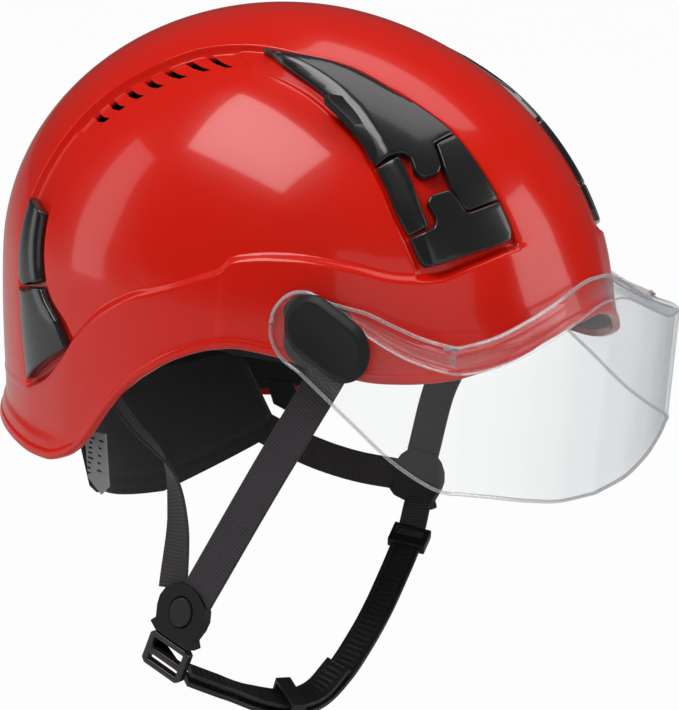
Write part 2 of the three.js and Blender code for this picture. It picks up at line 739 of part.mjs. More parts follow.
function addCradleClips() {
  const outline = [[-11, -9], [11, -9], [11, 5], [5, 11], [-5, 11], [-11, 5]];
  CLIP_ANGLES.forEach((angle, i) => {
    const out = unit([Math.cos(angle * DEG), Math.sin(angle * DEG) * 1.2, 0]);
    const frame = { at: bandPoint(angle, 0, 4.2), right: cross(Z_AXIS, out), up: Z_AXIS };
    put(`cradle_clip_${i + 1}`, prism(outline, frame, -1.8, 1.8), 'matte_black');
  });
}

function addCrownStraps() {
  for (const [name, startAngle, endingAngle, topZ] of CROWN_STRAPS) {
    const start = bandPoint(startAngle, STRAP_FOOT_Z, 1);
    const end = bandPoint(endingAngle, STRAP_FOOT_Z, 1);
    const centres = series(15, i => {
      const share = -1 + 2 * i / 14;
      const foot = share < 0 ? start : end;
      const quarter = Math.abs(share) * Math.PI / 2;
      const reach = Math.sin(quarter);
      const rise = Math.max(0, Math.cos(quarter)) ** 0.75;
      return [foot[0] * reach, mix(DOME_Y, foot[1], reach), mix(STRAP_FOOT_Z, topZ, rise)];
    });
    const across = unit([start[1] - end[1], end[0] - start[0], 0]);
    put(`crown_strap_${name}`, ribbon(centres, 18, 1.2, across), 'webbing');
  }
}

// ---------------------------------------------------------------- nape pad and ratchet
const NAPE_AT = [0, 94, -94];
const NAPE_OUT = unit([0, 0.93, -0.36]);
const NAPE_UP = unit(cross(X_AXIS, NAPE_OUT));
const NAPE_FRAME = { at: NAPE_AT, right: X_AXIS, up: NAPE_UP };
// Heights are outward from the nape plane; the frame's own axis points inward
const napePrism = (outline, from, to) => prism(outline, NAPE_FRAME, -to, -from);

const TEETH = 10;
const RACK_TEETH = 7;
const PITCH_RADIUS = 6;
const TOOTH_PITCH = TURN * PITCH_RADIUS / TEETH;

function addNapePad() {
  const centres = series(21, i => {
    const share = (i - 10) / 10;
    const angle = share * 1.15;
    const raised = add(add(NAPE_AT, X_AXIS, 72 * Math.sin(angle)), NAPE_UP, 4 + 6 * share * share);
    return add(raised, NAPE_OUT, -32 * (1 - Math.cos(angle)) - 6);
  });
  const width = i => 58 - 14 * Math.abs(i - 10) / 10;
  put('nape_pad', ribbon(centres, width, 5, NAPE_UP), 'pad_fabric');
}

// Rectangle with 4 mm corner chamfers
const plate = (halfW, halfH) => [
  [-halfW, -halfH + 4], [-halfW + 4, -halfH], [halfW - 4, -halfH], [halfW, -halfH + 4],
  [halfW, halfH - 4], [halfW - 4, halfH], [-halfW + 4, halfH], [-halfW, halfH - 4],
];

function addRatchetHousing() {
  const outline = plate(34, 18);
  put('ratchet_back', napePrism(outline, -2.6, -0.4), 'matte_black');
  const cavity = napePrism(plate(60, 11.4), -1, 6.4);      // open at both ends
  const bore = napePrism(circle(4.6, 20), 5, 12);
  put('ratchet_housing', subtract(napePrism(outline, 0, 9), cavity, bore), 'matte_black');
}

function addPinionAndKnob() {
  const root = PITCH_RADIUS - 1.3;
  const tip = PITCH_RADIUS + 0.9;
  const tooth = [[-0.17, root], [-0.1, tip], [0.1, tip], [0.17, root]];   // radians, radius
  const gear = series(TEETH, i => tooth.map(([turn, radius]) =>
    polar(radius, TURN * (i + 0.5) / TEETH + turn + Math.PI / 2))).flat();
  const shaft = napePrism(circle(3.9, 20), 5, 10.6);
  put('ratchet_pinion', unite(napePrism(gear, 0.7, 5.8), shaft), 'matte_black');
  const ridge = [[0, 19], [0.45, 18.2]];                   // share of the ridge pitch, radius
  const knob = series(36, i => ridge.map(([share, radius]) =>
    polar(radius, TURN * (i + share) / 36))).flat();
  const socket = napePrism(circle(4.3, 20), 8, 11.2);
  put('ratchet_knob', subtract(napePrism(knob, 9.8, 19), socket), 'rubber_black');
}

// Toothed bars facing the pinion: right-hand one above it, left-hand one below
function addRacks() {
  const rootY = PITCH_RADIUS + 1.6;
  const tipY = PITCH_RADIUS - 0.75;
  const backY = 10.6;
  const startX = -RACK_TEETH * TOOTH_PITCH / 2;
  const endX = 40;
  const teeth = series(RACK_TEETH, i => {
    const x = startX + (i + 0.5) * TOOTH_PITCH;
    return [[x - 0.95, rootY], [x - 0.55, tipY], [x + 0.55, tipY], [x + 0.95, rootY]];
  }).flat();
  const outline = [
    [startX - 2, backY], [startX - 2, rootY], ...teeth,
    [endX - 20, rootY], [endX, rootY + 0.2], [endX, backY],
  ];
  for (const [name, sign] of [['rack_R', 1], ['rack_L', -1]]) {
    const placed = outline.map(([x, y]) => [x * -sign, y * sign]);
    put(name, napePrism(placed, 1, 4.6), 'matte_black');
  }
}

// Thin plates outside each end of the nape pad; the left one is shorter
function addSizeScales() {
  const frontY = 74.5;
  const topZ = -70.4;
  const outline = [[frontY, -71.5], [60.5, topZ], [55.8, -93.6], [60.4, -98.4], [69.5, -93]];
  for (const [name, sign, zScale] of [['size_scale_R', -1, 1], ['size_scale_L', 1, 0.55]]) {
    const faceAt = height => outline.map(([y, z]) =>
      [sign * (68.6 + (frontY - y) * 0.2 + height + 1.4), y, topZ + (z - topZ) * zScale]);
    put(name, loft([faceAt(0), faceAt(1.1)]), 'scale_grey');
  }
}

function addNapeHangers() {
  const centres = [
    bandPoint(45, -30, 3.4), bandPoint(46, -40, 3.6),
    [60.8, 91.4, -54], [62.4, 91.6, -64], [62.9, 89.6, -72],
  ];
  putPair('nape_hanger', ribbon(centres, 9, 1.8, [-0.6, 0.8, 0]), 'matte_black');
}

// ---------------------------------------------------------------- chin harness
const FRONT_WEB_W = 17;
const REAR_WEB_W = 15;
const WEB_T = 1.3;

function addStrapAnchor(name, at) {
  const outline = [[-10, -5], [10, -5], [10, 3], [6, 6], [-6, 6], [-10, 3]];
  put(`strap_anchor_${name}`, prism(outline, sideFrame(at), -1.4, 1.4), 'matte_black');
}
function addStrap(name, { points, steps, width, across }) {
  put(`strap_${name}`, ribbon(through(points, steps), width, WEB_T, across), 'webbing');
}

function addHarnessStraps() {
  addStrapAnchor('front_R', [-79.6, -58, -3.4]);
  addStrapAnchor('front_L', [82, -38, -4.2]);
  addStrap('front_R', {
    points: [[-81.8, -60.5, -12.6], [-82.4, -56, -22], [-82.6, -33, -66], [-82, -3.6, -124.6]],
    steps: 10,
    width: FRONT_WEB_W,
    across: [0, 0.885, 0.47],
  });
  addStrap('front_L', {
    points: [[82.2, -37, -13.6], [84, -28, -30], [84.4, -15, -57], [79.2, -11.4, -87.4]],
    steps: 8,
    width: FRONT_WEB_W,
    across: [0, 0.97, 0.2],
  });
  addStrapAnchor('rear_R', [-88.4, 56, -36]);
  addStrap('rear_R', {
    points: [
      [-88, 54.4, -42], [-80, 42, -60], [-75, 25, -77], [-77, 16, -98], [-81, 14.4, -123.6],
    ],
    steps: 10,
    width: REAR_WEB_W,
    across: i => {
      const twist = (1 - i / 10) * 1.15;
      return [Math.sin(twist), Math.cos(twist), 0.2];
    },
  });
  addStrap('rear_L', {
    points: [
      [56, 97, -81], [63, 83, -89], [71.4, 68.4, -97], [75.8, 46, -103], [78, 24, -105],
      [78.6, 5, -104],
    ],
    steps: 10,
    width: REAR_WEB_W,
    across: i => [0.35 * (1 - i / 10), 0.15, 1],
  });
}

// Divider frames lie in a plane of constant x; their axis is +X
const RIGHT_DIVIDER = {
  at: [-81.6, 5.5, -137], right: unit([0, 0.95, 0.3]), up: unit([0, -0.3, 0.95]),
};
const LEFT_DIVIDER = {
  at: [78.6, -11, -101.5], right: unit([0, 0.97, 0.2]), up: unit([0, -0.2, 0.97]),
};

// Round-topped plate with an oval pad set in its outer face; side is 1 left, -1 right
function addDivider(name, frame, side) {
  const outwardPrism = (outline, from, to) => side > 0
    ? prism(outline, frame, from, to)
    : prism(outline, frame, -to, -from);
  const outline = [
    ...series(11, i => polar(13, -0.25 + (Math.PI + 0.5) * i / 10)),
    [-11, -9], [-13, -12], [-9, -14.4], [9, -14.4], [13, -12], [11, -9],
  ];
  const oval = circle(1, 20).map(([x, y]) => [x * 5.6, y * 7]);
  const recess = oval.map(([x, y]) => [x * 1.07, y * 1.07]);
  const body = subtract(outwardPrism(outline, -2.6, 2.6), outwardPrism(recess, -1.4, 4));
  put(`divider_${name}`, body, 'matte_black');
  put(`divider_pad_${name}`, outwardPrism(oval, 0.2, 3.4), 'rubber_black');
}

// Frame with two openings below the right divider
function addLadderBuckle() {
  const frame = { ...RIGHT_DIVIDER, at: add(RIGHT_DIVIDER.at, RIGHT_DIVIDER.up, -23.4) };
  const outline = [
    [-11, -6.6], [-9, -8.4], [9, -8.4], [11, -6.6], [11, 6.6], [9, 8], [-9, 8], [-11, 6.6],
  ];
  const openings = [rect(-8.2, 0.4, 8.2, 5.4), rect(-8.2, -5.8, 8.2, -2.6)];
  const cuts = openings.map(opening => prism(opening, frame, -4, 4));
  put('ladder_buckle', subtract(prism(outline, frame, -2.2, 2.2), ...cuts), 'matte_black');
}

// Centre line of the chin strap, from the right to the left
const CHIN = [
  [-75.4, 6.4, -169.6], [-70, 1.4, -172.4], [-64, -3.7, -175.4], [-52, -12.5, -181],
  [-38, -23.6, -184], [-24, -28.5, -182], [-8, -30.5, -173.5], [8, -30.6, -161.5],
  [22, -29.2, -151], [42, -24.6, -138], [56, -20.4, -130.5],
];
const CHIN_W = 14;
const CHIN_T = 2.2;
const CHIN_ACROSS = [0.05, 1, 0.3];
const TAIL_POINTS = 7;
const KEEPER_POINT = 4;

// Directions at a stretch of the strap: along it, across its width, and out of its face
function chinAxes(fromPoint, toPoint) {
  const along = unit(sub(CHIN[toPoint], CHIN[fromPoint]));
  const across = squareTo(CHIN_ACROSS, along);
  return { along, across, face: cross(along, across) };
}

// Strap, a tail lying above its right part, and a loop round both layers
function addChinStrap() {
  put('chin_strap', ribbon(through(CHIN, 26), CHIN_W, CHIN_T, CHIN_ACROSS), 'rubber_black');

  const tail = CHIN.slice(0, TAIL_POINTS).map((point, i) => {
    const { face } = chinAxes(Math.max(0, i - 1), i + 1);
    const lift = 4.2 + (i === TAIL_POINTS - 1 ? 1.6 : 0);
    return add(point, face, face[2] > 0 ? lift : -lift);
  });
  const tailMesh = ribbon(through(tail, 14), CHIN_W - 1, CHIN_T, CHIN_ACROSS);
  put('chin_strap_tail', tailMesh, 'rubber_black');

  const { across, face } = chinAxes(KEEPER_POINT - 1, KEEPER_POINT + 1);
  const at = CHIN[KEEPER_POINT].map((value, i) => mix(value, tail[KEEPER_POINT][i], 0.5));
  const frame = { at, right: across, up: face };
  const loop = prism(centredRect(20.8, 12.8), frame, -3.6, 3.6);
  const opening = prism(centredRect(16.8, 8.8), frame, -6, 6);
  put('keeper_loop', subtract(loop, opening), 'rubber_black');
}

// Slotted plate at the strap's left end
function addChinAdjuster() {
  const last = CHIN.length - 1;
  const { along, across } = chinAxes(last - 2, last);
  const frame = { at: add(CHIN[last], along, 0.6), right: across, up: along };
  const body = prism(rect(-9, 0, 9, 12), frame, -2.6, 2.6);
  const slot = prism(rect(-6.6, 5.5, 6.6, 9.5), frame, -5, 5);
  put('chin_adjuster', subtract(body, slot), 'matte_black');
}

// ---------------------------------------------------------------- assembly
addShell();
addLiner();
addFrontVents();
addHeadlampClips();
addRearVents();
addVisor();
addPivotBases();
addPivotScrews();
addPivotCaps();
addHeadband();
addCrownPad();
addCradleClips();
addCrownStraps();
addNapePad();
addRatchetHousing();
addPinionAndKnob();
addRacks();
addSizeScales();
addNapeHangers();
addHarnessStraps();
addDivider('R', RIGHT_DIVIDER, -1);
addDivider('L', LEFT_DIVIDER, 1);
addLadderBuckle();
addChinStrap();
addChinAdjuster();

export default group;
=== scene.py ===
import bpy, bmesh, json, math
import numpy as np
from mathutils import Vector, Matrix
from mathutils.geometry import delaunay_2d_cdt

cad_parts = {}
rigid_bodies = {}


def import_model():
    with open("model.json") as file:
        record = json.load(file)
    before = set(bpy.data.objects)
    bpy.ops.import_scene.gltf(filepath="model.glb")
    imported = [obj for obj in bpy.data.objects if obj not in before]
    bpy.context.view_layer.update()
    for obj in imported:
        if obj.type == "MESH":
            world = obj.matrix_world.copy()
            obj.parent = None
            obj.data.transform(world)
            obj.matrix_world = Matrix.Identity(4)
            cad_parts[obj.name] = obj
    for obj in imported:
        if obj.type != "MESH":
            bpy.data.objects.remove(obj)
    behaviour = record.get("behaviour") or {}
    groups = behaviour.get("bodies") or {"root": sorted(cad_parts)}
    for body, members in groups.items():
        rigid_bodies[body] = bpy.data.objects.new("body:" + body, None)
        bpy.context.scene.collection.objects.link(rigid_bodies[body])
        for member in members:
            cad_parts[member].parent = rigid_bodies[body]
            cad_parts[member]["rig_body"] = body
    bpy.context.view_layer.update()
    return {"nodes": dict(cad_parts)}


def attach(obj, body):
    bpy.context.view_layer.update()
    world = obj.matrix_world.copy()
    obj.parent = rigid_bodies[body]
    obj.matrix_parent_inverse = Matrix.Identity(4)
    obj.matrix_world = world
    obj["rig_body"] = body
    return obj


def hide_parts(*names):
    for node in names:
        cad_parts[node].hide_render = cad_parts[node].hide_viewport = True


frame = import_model()
NODES = frame["nodes"]

# ------------------------------------------------------------------ shape constants (mm, working frame)
ORG = np.array([0, 14.4, 78.0])
HW, FR, RE, CR, EN, EP, YC = 106.0, 149.1, 149.6, 121.5, 1.9464, 1.8773, 14.4
CH, SD, INN = 2.5, 0.4, 5.3
POLE = (20.0, 8.4)
RIM = [[-90, 12], [-82, 9], [-74, 3.4], [-67, -3.4], [-60, -9.0], [-54, -13.2], [-46, -16.0], [-40, -16.8], [-33, -15], [-27, -12.5],
  [-21, -10.5], [-16, -10], [-10.6, -12.9], [-5.2, -18.9], [0, -27], [3.3, -33.9], [6.3, -40.9], [9.5, -50], [12.8, -60.3], [16.4, -70],
  [21, -78], [27, -83], [35, -84.5], [50, -83], [70, -81], [90, -80]]
SKIRT = [[-90, 48], [-69, 43.5], [-58, 36.5], [-50, 30.5], [-43, 29.5], [-35, 31.8], [-26, 33.2], [-20, 32.2], [-14.5, 29.6], [-12.6, 27.8],
  [-11.2, 23.4], [-7.4, 18.8], [0, 10.5], [3.4, 7.6], [11.5, -4.3], [18.8, -20.8], [22.9, -32], [30, -46], [40, -54], [90, -58]]
STEP = [[-90, 0], [-76, 0.2], [-64, 2.2], [-12.6, 2.2], [-11.2, 1.5], [22, 1.5], [32, 0.7], [90, 0.5]]
FLARE = [[-90, 4.5], [-60, 3.2], [-36, 0.6], [-20, 0.2], [10, 0.4], [25, 1.6], [90, 2]]
BAND = [[0, 33], [15, 33.2], [29, 33.3], [41, 33.6], [49, 36.4], [56, 38.4], [66, 40.4], [79, 46.2], [90, 48.4], [104, 52], [117, 58.2], [132, 64.2], [148, 71], [161, 74.5], [180, 77], [215, 80]]
SIDE = [[0, 68], [18, 68.6], [29, 69], [36, 67.6], [42, 66.2], [49, 64], [58, 62.6], [70, 60.6], [86, 59.4], [99, 63.4], [111, 68.6], [123, 73], [134, 76.4], [145, 80], [161, 85.4], [173, 88.4], [186, 91.2], [198, 96], [215, 99]]
SLOTS = [98.9, 104.9, 111.1, 117.2, 123.1, 128.9, 134.3]


class Curve:
    """Catmull-Rom through a table with limited slopes, for arrays."""
    def __init__(self, tab):
        t = np.array(tab, float); self.x, self.y = t[:, 0], t[:, 1]
        d = np.diff(self.y) / np.diff(self.x); m = np.zeros(len(self.x)); m[0], m[-1] = d[0], d[-1]
        for j in range(1, len(self.x) - 1):
            a, b = d[j - 1], d[j]; m[j] = 0 if a * b <= 0 else 2 * a * b / (a + b)
        self.m = m
    def __call__(self, q):
        q = np.clip(np.asarray(q, float), self.x[0], self.x[-1])
        i = np.clip(np.searchsorted(self.x, q, side="right") - 1, 0, len(self.x) - 2)
        h = self.x[i + 1] - self.x[i]; t = (q - self.x[i]) / h
        return ((2 * t**3 - 3 * t * t + 1) * self.y[i] + (t**3 - 2 * t * t + t) * self.m[i] * h
                + (-2 * t**3 + 3 * t * t) * self.y[i + 1] + (t**3 - t * t) * self.m[i + 1] * h)


rim, skirt, step_c, flare, band, side = map(Curve, (RIM, SKIRT, STEP, FLARE, BAND, SIDE))
sm = lambda t: (lambda u: u * u * (3 - 2 * u))(np.clip(t, 0, 1))
unit = lambda v: v / np.maximum(np.linalg.norm(v, axis=-1, keepdims=True), 1e-9)


def plan_angle(p):
    y = p[..., 1] - YC
    return np.degrees(np.arctan2(y / np.where(y < 0, FR, RE), np.abs(p[..., 0]) / HW))


def taper(z, A):
    return np.where(z >= 0, 1.0, 1 - 0.034 * sm((A + 5) / 25) * np.minimum(1.3, np.maximum(-z / 60, 0) ** 1.6))


def dome_at(A, z):
    A, z = np.broadcast_arrays(np.asarray(A, float), np.asarray(z, float))
    a = np.radians(A); s = np.where(z > 0, np.maximum(0, 1 - np.clip(z / CR, 0, 1) ** EN) ** (1 / EN), 1.0) * taper(z, A)
    rad = (np.abs(np.cos(a)) ** EP + np.abs(np.sin(a)) ** EP) ** (-1 / EP)
    return np.stack([HW * rad * np.cos(a) * s, np.where(np.sin(a) < 0, FR, RE) * rad * np.sin(a) * s + YC, z], -1)


def level(p):
    y = p[..., 1] - YC; k = taper(p[..., 2], plan_angle(p))
    r = ((np.abs(p[..., 0]) / HW / k) ** EP + (np.abs(y) / np.where(y < 0, FR, RE) / k) ** EP) ** (1 / EP)
    return np.where(p[..., 2] > 0, r**EN + np.clip(p[..., 2] / CR, 0, None) ** EN - 1, r - 1)


def normal(p):
    h = 0.05; g = []
    for i in range(3):
        a = p.copy(); b = p.copy(); a[..., i] += h; b[..., i] -= h; g.append(level(a) - level(b))
    return unit(np.stack(g, -1))


def chart(X, th, axis=POLE):
    X, th = np.broadcast_arrays(np.asarray(X, float), np.asarray(th, float)); t = np.radians(th)
    dy, dz = -np.cos(t), np.sin(t); lo = np.zeros(X.shape); hi = np.full(X.shape, 220.0)
    P = lambda r: np.stack([X, axis[0] + dy * r, axis[1] + dz * r], -1)
    for _ in range(44):
        m = (lo + hi) / 2; o = level(P(m)) > 0; hi = np.where(o, m, hi); lo = np.where(o, lo, m)
    return P(lo)


chart_c = lambda X, th: chart(X, th, (YC, 0.0))


def centre_angle(p):
    a = np.degrees(np.arctan2(p[..., 2], -(p[..., 1] - YC))); return np.where(a < -60, a + 360, a)


# ------------------------------------------------------------------ object helpers
def to_m(p): return (np.asarray(p, float) - ORG) / 1000.0


def make(name, V, F, mat, body="helmet", replaces=None, smooth=True, sharp=None, flip=False):
    me = bpy.data.meshes.new(name)
    me.from_pydata([tuple(v) for v in to_m(V)], [], [tuple(int(i) for i in f) for f in F])
    bm = bmesh.new(); bm.from_mesh(me)
    bmesh.ops.remove_doubles(bm, verts=bm.verts, dist=1e-6)
    bmesh.ops.dissolve_degenerate(bm, edges=bm.edges, dist=1e-7)
    bmesh.ops.recalc_face_normals(bm, faces=bm.faces)
    if bm.calc_volume(signed=True) < 0: bmesh.ops.reverse_faces(bm, faces=bm.faces)
    for f in bm.faces: f.smooth = smooth
    if sharp is not None:
        a = math.radians(sharp)
        for e in bm.edges:
            if len(e.link_faces) == 2 and e.calc_face_angle(0) > a: e.smooth = False
    bm.to_mesh(me); bm.free()
    o = bpy.data.objects.new(name, me); bpy.context.scene.collection.objects.link(o)
    me.materials.append(mat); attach(o, body)
    if replaces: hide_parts(*([replaces] if isinstance(replaces, str) else replaces))
    return o


def bevel(o, w, seg=2, angle=32):
    m = o.modifiers.new("bevel", "BEVEL"); m.width = w / 1000; m.segments = seg; m.limit_method = "ANGLE"; m.angle_limit = math.radians(angle); m.harden_normals = False
    return o


def copy_node(node, mat, w=0.4, seg=2, subdiv=0, angle=32):
    """A bevelled, smooth-shaded piece with the shape of a CAD node."""
    src = NODES[node]; me = src.data.copy(); me.materials.clear(); me.materials.append(mat)
    bm = bmesh.new(); bm.from_mesh(me); bmesh.ops.remove_doubles(bm, verts=bm.verts, dist=2e-6)
    bmesh.ops.dissolve_limit(bm, angle_limit=math.radians(1.2), verts=bm.verts, edges=bm.edges)
    for f in bm.faces: f.smooth = True
    for e in bm.edges:
        if len(e.link_faces) == 2 and e.calc_face_angle(0) > math.radians(30): e.smooth = False
    bm.to_mesh(me); bm.free()
    if me.attributes.get("custom_normal"): me.attributes.remove(me.attributes["custom_normal"])
    o = bpy.data.objects.new("v_" + node, me); bpy.context.scene.collection.objects.link(o)
    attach(o, src["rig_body"]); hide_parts(node)
    if w: bevel(o, w, seg, angle)
    return o


def grid_faces(R, N, wrap=False, base=0, flip=False):
    F = []
    for j in range(R - 1):
        for i in range(N if wrap else N - 1):
            a, b = base + j * N + i, base + j * N + (i + 1) % N; c, d = b + N, a + N
            F.append((a, d, c, b) if flip else (a, b, c, d))
    return F


# ------------------------------------------------------------------ materials
def nodes_of(name):
    m = bpy.data.materials.new(name); m.use_nodes = True; nt = m.node_tree; b = nt.nodes["Principled BSDF"]; return m, nt, b


def N(nt, kind, **kw):
    n = nt.nodes.new(kind)
    for k, v in kw.items():
        if k in n.inputs: n.inputs[k].default_value = v
        else: setattr(n, k, v)
    return n


def plastic(name, col, rough, coat=0.0, grain=900.0, bump=0.02, var=0.08, spec=0.5, coat_rough=0.05, edge_lighten=0.0, big=18.0):
    m, nt, b = nodes_of(name); L = nt.links.new
    tc = N(nt, "ShaderNodeTexCoord")
    n1 = N(nt, "ShaderNodeTexNoise", Scale=big, Detail=5.0); L(tc.outputs["Object"], n1.inputs["Vector"])
    n2 = N(nt, "ShaderNodeTexNoise", Scale=grain, Detail=3.0); L(tc.outputs["Object"], n2.inputs["Vector"])
    mix = N(nt, "ShaderNodeMix", data_type="RGBA", blend_type="MIX")
    mix.inputs[6].default_value = (*[c * (1 - var) for c in col], 1); mix.inputs[7].default_value = (*[min(1, c * (1 + var)) for c in col], 1)
    L(n1.outputs["Fac"], mix.inputs[0])
    # sharp convex edges (high pointiness) are mixed towards a lighter colour
    geo = N(nt, "ShaderNodeNewGeometry"); ramp = N(nt, "ShaderNodeMapRange"); ramp.inputs[1].default_value = 0.52; ramp.inputs[2].default_value = 0.62; ramp.inputs[4].default_value = edge_lighten
    L(geo.outputs["Pointiness"], ramp.inputs[0])
    mix2 = N(nt, "ShaderNodeMix", data_type="RGBA"); mix2.inputs[7].default_value = (*[min(1, c * 1.6 + 0.03) for c in col], 1)
    L(ramp.outputs[0], mix2.inputs[0]); L(mix.outputs[2], mix2.inputs[6]); L(mix2.outputs[2], b.inputs["Base Color"])
    mr = N(nt, "ShaderNodeMapRange"); mr.inputs[3].default_value = rough * 0.8; mr.inputs[4].default_value = rough * 1.25
    L(n1.outputs["Fac"], mr.inputs[0]); L(mr.outputs[0], b.inputs["Roughness"])
    bp = N(nt, "ShaderNodeBump", Strength=bump, Distance=0.0004); L(n2.outputs["Fac"], bp.inputs["Height"]); L(bp.outputs[0], b.inputs["Normal"])
    b.inputs["Coat Weight"].default_value = coat; b.inputs["Coat Roughness"].default_value = coat_rough; b.inputs["Specular IOR Level"].default_value = spec
    return m


RED = plastic("shell_red", (0.74, 0.0105, 0.0018), 0.24, coat=0.5, grain=260, bump=0.02, var=0.05, spec=0.25, coat_rough=0.07, edge_lighten=0.06, big=9)
BLACK_G = plastic("gloss_black", (0.012, 0.012, 0.013), 0.26, coat=0.5, grain=500, bump=0.04, var=0.2, coat_rough=0.09, edge_lighten=0.10)
BLACK_M = plastic("matte_black", (0.0085, 0.0085, 0.0092), 0.46, spec=0.35, grain=1400, bump=0.22, var=0.2, edge_lighten=0.15)
BLACK_D = plastic("deep_black", (0.007, 0.007, 0.008), 0.7, grain=1000, bump=0.25, var=0.2)
FOAM = plastic("foam_black", (0.012, 0.012, 0.013), 0.85, grain=420, bump=0.9, var=0.35)
RUBBER = plastic("rubber_black", (0.014, 0.014, 0.015), 0.48, grain=800, bump=0.2, var=0.25, edge_lighten=0.2)
STEEL = plastic("steel", (0.6, 0.6, 0.61), 0.3, grain=700, bump=0.15, var=0.08); STEEL.node_tree.nodes["Principled BSDF"].inputs["Metallic"].default_value = 1
GREY = plastic("scale_grey", (0.38, 0.39, 0.40), 0.45, grain=700, bump=0.15, var=0.1)
# painted shade: a dark red that stands for the deep shadow on the slot walls of the shell
SLOT_SHADE = plastic("shell_slot_painted_shade", (0.035, 0.002, 0.001), 0.6, grain=300, bump=0.1, var=0.1, spec=0.2)
# painted shade: a darkened copy of the shell red for shadowed inner faces; nothing in the scene uses it
INNER_SHADE = plastic("shell_inner_painted_shade", (0.36, 0.012, 0.005), 0.5, grain=300, bump=0.1, var=0.1)


def fabric(name, col, along=1150.0, across=1150.0, bump=0.5):
    """Woven webbing: fine wales from two crossed waves on the piece's UV map (metres)."""
    m, nt, b = nodes_of(name); L = nt.links.new
    uv = N(nt, "ShaderNodeUVMap"); uv.uv_map = "UVMap"; sep = N(nt, "ShaderNodeSeparateXYZ"); L(uv.outputs[0], sep.inputs[0])
    def wave(sock, k):
        a = N(nt, "ShaderNodeMath", operation="MULTIPLY"); a.inputs[1].default_value = k; L(sock, a.inputs[0])
        s = N(nt, "ShaderNodeMath", operation="SINE"); L(a.outputs[0], s.inputs[0])
        h = N(nt, "ShaderNodeMath", operation="MULTIPLY_ADD"); h.inputs[1].default_value = 0.5; h.inputs[2].default_value = 0.5; L(s.outputs[0], h.inputs[0]); return h
    w1, w2 = wave(sep.outputs[0], across * 2 * math.pi), wave(sep.outputs[1], along * 2 * math.pi)
    mul = N(nt, "ShaderNodeMath", operation="MULTIPLY"); L(w1.outputs[0], mul.inputs[0]); L(w2.outputs[0], mul.inputs[1])
    add = N(nt, "ShaderNodeMath", operation="MULTIPLY_ADD"); add.inputs[1].default_value = 0.7; L(w2.outputs[0], add.inputs[0]); L(mul.outputs[0], add.inputs[2])
    tc = N(nt, "ShaderNodeTexCoord"); n1 = N(nt, "ShaderNodeTexNoise", Scale=60.0, Detail=6.0); L(tc.outputs["Object"], n1.inputs["Vector"])
    n2 = N(nt, "ShaderNodeTexNoise", Scale=2600.0, Detail=2.0); L(tc.outputs["Object"], n2.inputs["Vector"])
    mix = N(nt, "ShaderNodeMix", data_type="RGBA"); mix.inputs[6].default_value = (*[c * 0.55 for c in col], 1); mix.inputs[7].default_value = (*[c * 1.35 for c in col], 1)
    mm = N(nt, "ShaderNodeMath", operation="MULTIPLY_ADD"); mm.inputs[1].default_value = 0.55; L(add.outputs[0], mm.inputs[0]); mx = N(nt, "ShaderNodeMath", operation="MULTIPLY"); mx.inputs[1].default_value = 0.45
    L(n1.outputs["Fac"], mx.inputs[0]); L(mx.outputs[0], mm.inputs[2]); L(mm.outputs[0], mix.inputs[0]); L(mix.outputs[2], b.inputs["Base Color"])
    s2 = N(nt, "ShaderNodeMath", operation="MULTIPLY_ADD"); s2.inputs[1].default_value = 0.3; L(n2.outputs["Fac"], s2.inputs[0]); L(add.outputs[0], s2.inputs[2])
    bp = N(nt, "ShaderNodeBump", Strength=bump, Distance=0.0002); L(s2.outputs[0], bp.inputs["Height"]); L(bp.outputs[0], b.inputs["Normal"])
    b.inputs["Roughness"].default_value = 0.82; b.inputs["Sheen Weight"].default_value = 0.35; b.inputs["Sheen Roughness"].default_value = 0.4
    b.inputs["Sheen Tint"].default_value = (0.8, 0.75, 0.8, 1)
    return m


WEB = fabric("webbing", (0.040, 0.034, 0.040), along=620, across=900)


def pad_fabric():
    m = plastic("pad_fabric", (0.011, 0.010, 0.011), 0.9, grain=1500, bump=0.9, var=0.3); b = m.node_tree.nodes["Principled BSDF"]
    b.inputs["Sheen Weight"].default_value = 0.25; return m


PAD = pad_fabric()


